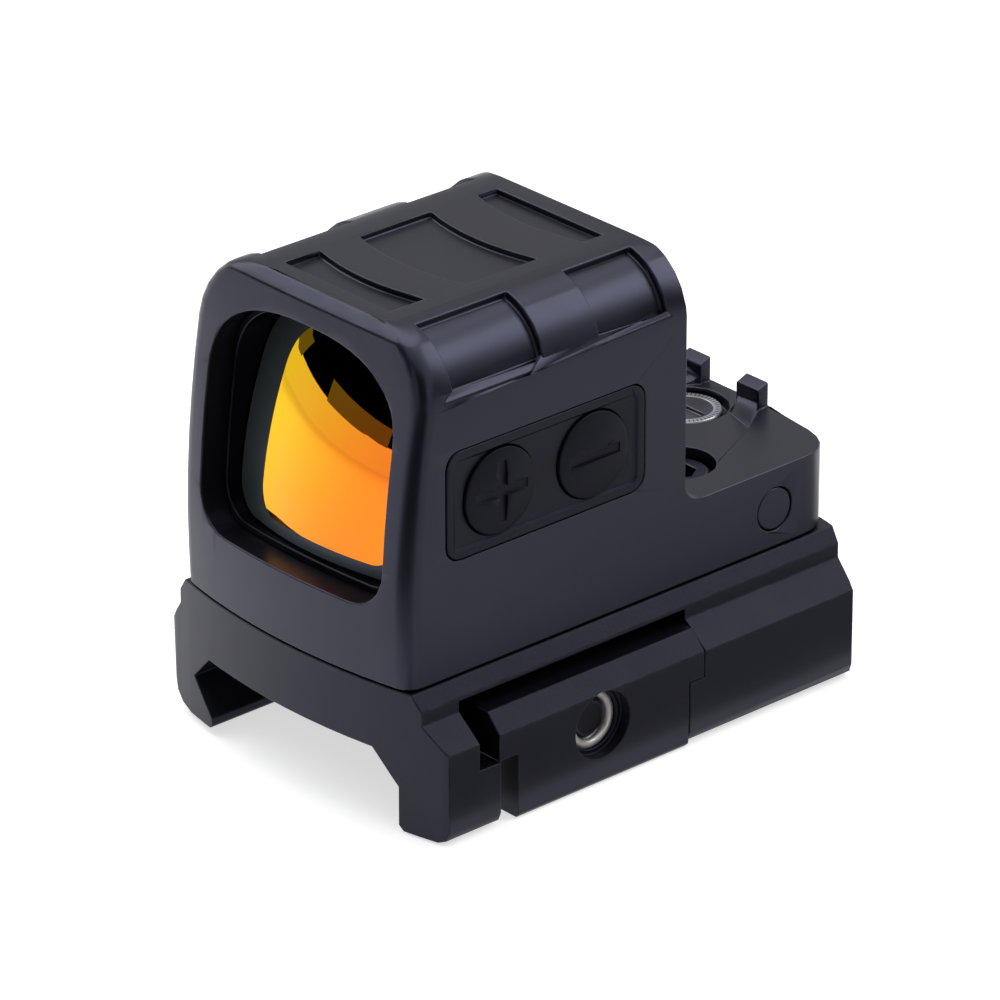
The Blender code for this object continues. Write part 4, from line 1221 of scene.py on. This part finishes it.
def wire_tree() -> Tree:
    """Builds the tree that winds a wire insert along +Z.

    Returns:
        A geometry tree with inputs for the turns, radius, length and wire.
    """
    sizes = tuple((label, "NodeSocketFloat") for label in ("Turns", "Radius", "Length", "Wire"))
    graph, inside = start_tree("wound_insert", sizes)
    coil = graph.add("GeometryNodeCurveSpiral")
    graph.feed(coil, Resolution=40, Rotations=inside["Turns"], Height=inside["Length"])
    graph.feed(coil, Start_Radius=inside["Radius"], End_Radius=inside["Radius"])
    section = graph.add("GeometryNodeCurvePrimitiveCircle")
    graph.feed(section, Resolution=8, Radius=inside["Wire"])
    tube = graph.add("GeometryNodeCurveToMesh")
    graph.feed(tube, Curve=coil.outputs["Curve"], Profile_Curve=section.outputs["Curve"])
    graph.feed(tube, Fill_Caps=True)
    soft = graph.add("GeometryNodeSetShadeSmooth")
    graph.feed(soft, Geometry=tube.outputs["Mesh"])
    return end_tree(graph, soft.outputs["Geometry"], inside["Finish"])


@dataclass
class RailClamp:
    """The base, the jaw with its wound insert, the cross bolt and the guide pins."""

    dresser: Dresser
    palette: Palette
    bolt_y: float = -4.8
    bolt_z: float = 4.46
    mouth: float = 13.8
    insert_length: float = 2.8
    insert_pitch: float = 0.5
    insert_radius: float = 1.86
    wire: float = 0.34
    slope: float = 0.3

    def build(self) -> None:
        """Dresses the clamp."""
        dress, palette = self.dresser.dress, self.palette
        for node, body in (("rail_base", Body.SIGHT), ("clamp_jaw", Body.JAW)):
            piece = dress(node, Edge.BROKEN, body, palette.clamp, "black_anodised", segments=3)
            mark_faces(piece, "blast", self.sloped)
        self.insert()
        dress("clamp_screw", Edge.BROKEN, Body.BOLT, palette.screw, "black_steel")
        for tag in ("front", "rear"):
            dress(f"guide_pin_{tag}", Edge.BROKEN, Body.SIGHT, palette.bright, "bright_steel")

    def sloped(self, face: bpy.types.MeshPolygon) -> bool:
        """Says whether a face slopes up and out to a side."""
        return abs(face.normal.x) > self.slope and face.normal.z > self.slope

    def insert(self) -> None:
        """Winds the thread insert into the jaw."""
        length = self.insert_length - 2 * self.wire
        coil = grow(
            "wound_insert",
            wire_tree(),
            {
                "Turns": length / self.insert_pitch,
                "Radius": self.insert_radius * MM,
                "Length": length * MM,
                "Wire": self.wire * MM,
                "Finish": self.palette.bright,
            },
        )
        start = (self.mouth - self.insert_length + self.wire, self.bolt_y, self.bolt_z)
        turn = Matrix.Rotation(math.radians(90), 4, "Y")
        coil.data.transform(Matrix.Translation(Vector(start) * MM) @ turn)
        self.dresser.stand_in(coil, "thread_insert", Body.JAW, self.palette.bright, "bright_steel")


# Studio


@dataclass
class Studio:
    """Pale floor, soft lamps, dark flags and the camera."""

    eye: Point = (322.35, -289.94, 222.20)
    right: Point = (0.66743, 0.74467, 0.0)
    up: Point = (-0.32153, 0.28818, 0.90199)
    back: Point = (0.67169, -0.60201, 0.43177)
    focal: float = 250.0
    film: float = 36.0
    floor_reach: float = 3.0
    floor_glow: float = 0.62
    fill: float = 0.35
    sheet_lift: float = 0.0006
    strip_lift: float = 0.0009
    sheet_steps: int = 16
    target: Point = (0.0, 0.0, 0.02)

    def camera(self) -> None:
        """Sets up the camera at the photograph's viewpoint."""
        data = bpy.data.cameras.new("view")
        data.lens = self.focal
        data.sensor_width = self.film
        data.clip_start = 0.01
        camera = bpy.data.objects.new("view", data)
        turn = Matrix((self.right, self.up, self.back)).transposed().to_4x4()
        camera.matrix_world = Matrix.Translation(Vector(self.eye) * MM) @ turn
        bpy.context.scene.collection.objects.link(camera)
        bpy.context.scene.camera = camera

    def lamp(self, name: str, place: Point, size: Flat, watts: float) -> None:
        """Hangs a soft lamp that faces the finder.

        Args:
            name: the lamp's name.
            place: its place in metres.
            size: its width and height in metres.
            watts: its power.
        """
        data = bpy.data.lights.new(name, "AREA")
        data.shape = "RECTANGLE"
        data.size, data.size_y = size
        data.energy = watts
        lamp = bpy.data.objects.new(name, data)
        lamp.location = place
        aim = Vector(self.target) - Vector(place)
        lamp.rotation_euler = aim.to_track_quat("-Z", "Y").to_euler()
        bpy.context.scene.collection.objects.link(lamp)

    def card(self, name: str, place: Point, size: Flat, grey: float) -> None:
        """Stands a card that only shows in reflections.

        Args:
            name: the card's name.
            place: its middle in metres.
            size: its width and height in metres.
            grey: how bright it is.
        """
        form = bmesh.new()
        bmesh.ops.create_grid(form, x_segments=1, y_segments=1, size=0.5)
        card = place_mesh(name, form)
        aim = Vector(self.target) - Vector(place)
        turn = aim.to_track_quat("Z", "Y").to_matrix().to_4x4()
        wide = Matrix.Diagonal((size[0], size[1], 1.0, 1.0))
        card.data.transform(Matrix.Translation(place) @ turn @ wide)
        self.hide(card, grey)

    def sheet(
        self, name: str, start: float, end: float, near: float, far: float, grey: float
    ) -> None:
        """Lays a sector just above the floor that only shows in reflections.

        Args:
            name: the sheet's name.
            start: its first bearing in degrees from the lens end towards the keypad side.
            end: its last bearing.
            near: inner radius in metres.
            far: outer radius in metres.
            grey: how bright it is.
        """
        form = bmesh.new()
        rows = []
        for i in range(self.sheet_steps + 1):
            turn = math.radians(start + (end - start) * i / self.sheet_steps)
            way = Vector((math.sin(turn), -math.cos(turn), 0.0))
            lift = Vector((0.0, 0.0, self.sheet_lift))
            rows.append([form.verts.new(way * r + lift) for r in (near, far)])
        for a, b in zip(rows, rows[1:]):
            form.faces.new((a[0], a[1], b[1], b[0]))
        self.hide(place_mesh(name, form), grey)

    def strip(self, name: str, low: Flat, high: Flat, grey: float) -> None:
        """Lays a rectangle just above the floor that only shows in reflections.

        Args:
            name: the strip's name.
            low: its corner of least X and Y in metres.
            high: its opposite corner.
            grey: how bright it is.
        """
        form = bmesh.new()
        corners = (low, (high[0], low[1]), high, (low[0], high[1]))
        form.faces.new([form.verts.new((x, y, self.strip_lift)) for x, y in corners])
        self.hide(place_mesh(name, form), grey)

    def hide(self, card: Piece, grey: float) -> None:
        """Gives a card its glow and keeps it out of all but reflections.

        Args:
            card: the card.
            grey: how bright it is.
        """
        material = bpy.data.materials.new(card.name)
        material.use_nodes = True
        graph = Graph(material.node_tree)
        glow = graph.add("ShaderNodeEmission")
        graph.feed(glow, Color=(grey, grey, grey, 1.0), Strength=1.0)
        graph.feed(material.node_tree.nodes["Material Output"], Surface=glow.outputs["Emission"])
        card.data.materials.append(material)
        card.visible_camera = False
        card.visible_diffuse = False
        card.visible_shadow = False

    def floor(self) -> None:
        """Lays the floor, white to the eye and in reflections, with the finder's shadow on it."""
        form = bmesh.new()
        bmesh.ops.create_grid(form, x_segments=8, y_segments=8, size=self.floor_reach)
        floor = place_mesh("floor", form)
        material, graph, shader, place = blank("pale_floor")
        cloud = graph.add("ShaderNodeTexNoise")
        graph.feed(cloud, Vector=place, Scale=3.0)
        pale = graph.blend(cloud.outputs["Fac"], (0.80, 0.80, 0.80), (0.82, 0.82, 0.82))
        graph.feed(shader, Base_Color=pale, Roughness=0.9, Specular_IOR_Level=0.0)
        glow = graph.add("ShaderNodeEmission")
        bright = graph.math("MULTIPLY", seen(graph), self.floor_glow)
        graph.feed(glow, Color=(1.0, 1.0, 1.0, 1.0), Strength=bright)
        both = graph.add("ShaderNodeAddShader")
        graph.tree.links.new(shader.outputs["BSDF"], both.inputs[0])
        graph.tree.links.new(glow.outputs["Emission"], both.inputs[1])
        graph.feed(material.node_tree.nodes["Material Output"], Surface=both.outputs["Shader"])
        floor.data.materials.append(material)

    def world(self) -> None:
        """Sets a white surround to the eye, metal and glass, and a low fill for the rest."""
        world = bpy.data.worlds.new("surround")
        world.use_nodes = True
        bpy.context.scene.world = world
        graph = Graph(world.node_tree)
        shader = world.node_tree.nodes["Background"]
        bright = graph.spread(seen(graph), self.fill, 1.0)
        graph.feed(shader, Color=(1.0, 1.0, 1.0, 1.0), Strength=bright)

    def build(self) -> None:
        """Sets up the whole studio."""
        self.camera()
        self.floor()
        self.world()
        self.lamp("overhead", (-0.10, 0.10, 0.75), (0.6, 0.6), 2.6)
        self.lamp("left_soft", (-0.55, -0.15, 0.55), (0.45, 0.45), 1.4)
        self.lamp("right_back", (0.30, 0.48, 0.52), (0.35, 0.4), 1.5)
        self.card("front_left_flag", (-0.45, -0.60, 0.39), (1.1, 0.62), 0.0)
        self.card("camera_flag", (0.42, -0.42, 0.30), (0.75, 0.55), 0.0)
        self.card("rear_left_grey", (-0.60, 0.54, 0.42), (1.1, 0.66), 0.5)
        self.card("right_back_flag", (0.62, 0.52, 0.13), (0.8, 0.26), 0.01)
        self.card("lens_strip", (-0.375, -0.59, 0.115), (0.30, 0.05), 0.15)
        self.sheet("camera_sheet", -4.0, 74.0, 0.054, 0.7, 0.0)
        self.sheet("side_sheet", 74.0, 172.0, 0.034, 0.7, 0.85)
        self.strip("base_strip", (0.016, -0.03), (0.029, 0.06), 0.34)
        bpy.context.scene.view_settings.view_transform = "Standard"


def main() -> None:
    """Loads the solids, dresses each sub-assembly and sets up the studio."""
    logging.basicConfig(level=logging.INFO, format="%(name)s: %(message)s")
    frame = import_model()
    dresser = Dresser(frame["nodes"])
    palette = Palette.build()
    for part in (Housing, Optics, Keypad, Adjusters, Inside, Drawer, RailClamp):
        part(dresser, palette).build()
    Studio().build()


if __name__ == "__main__":
    main()
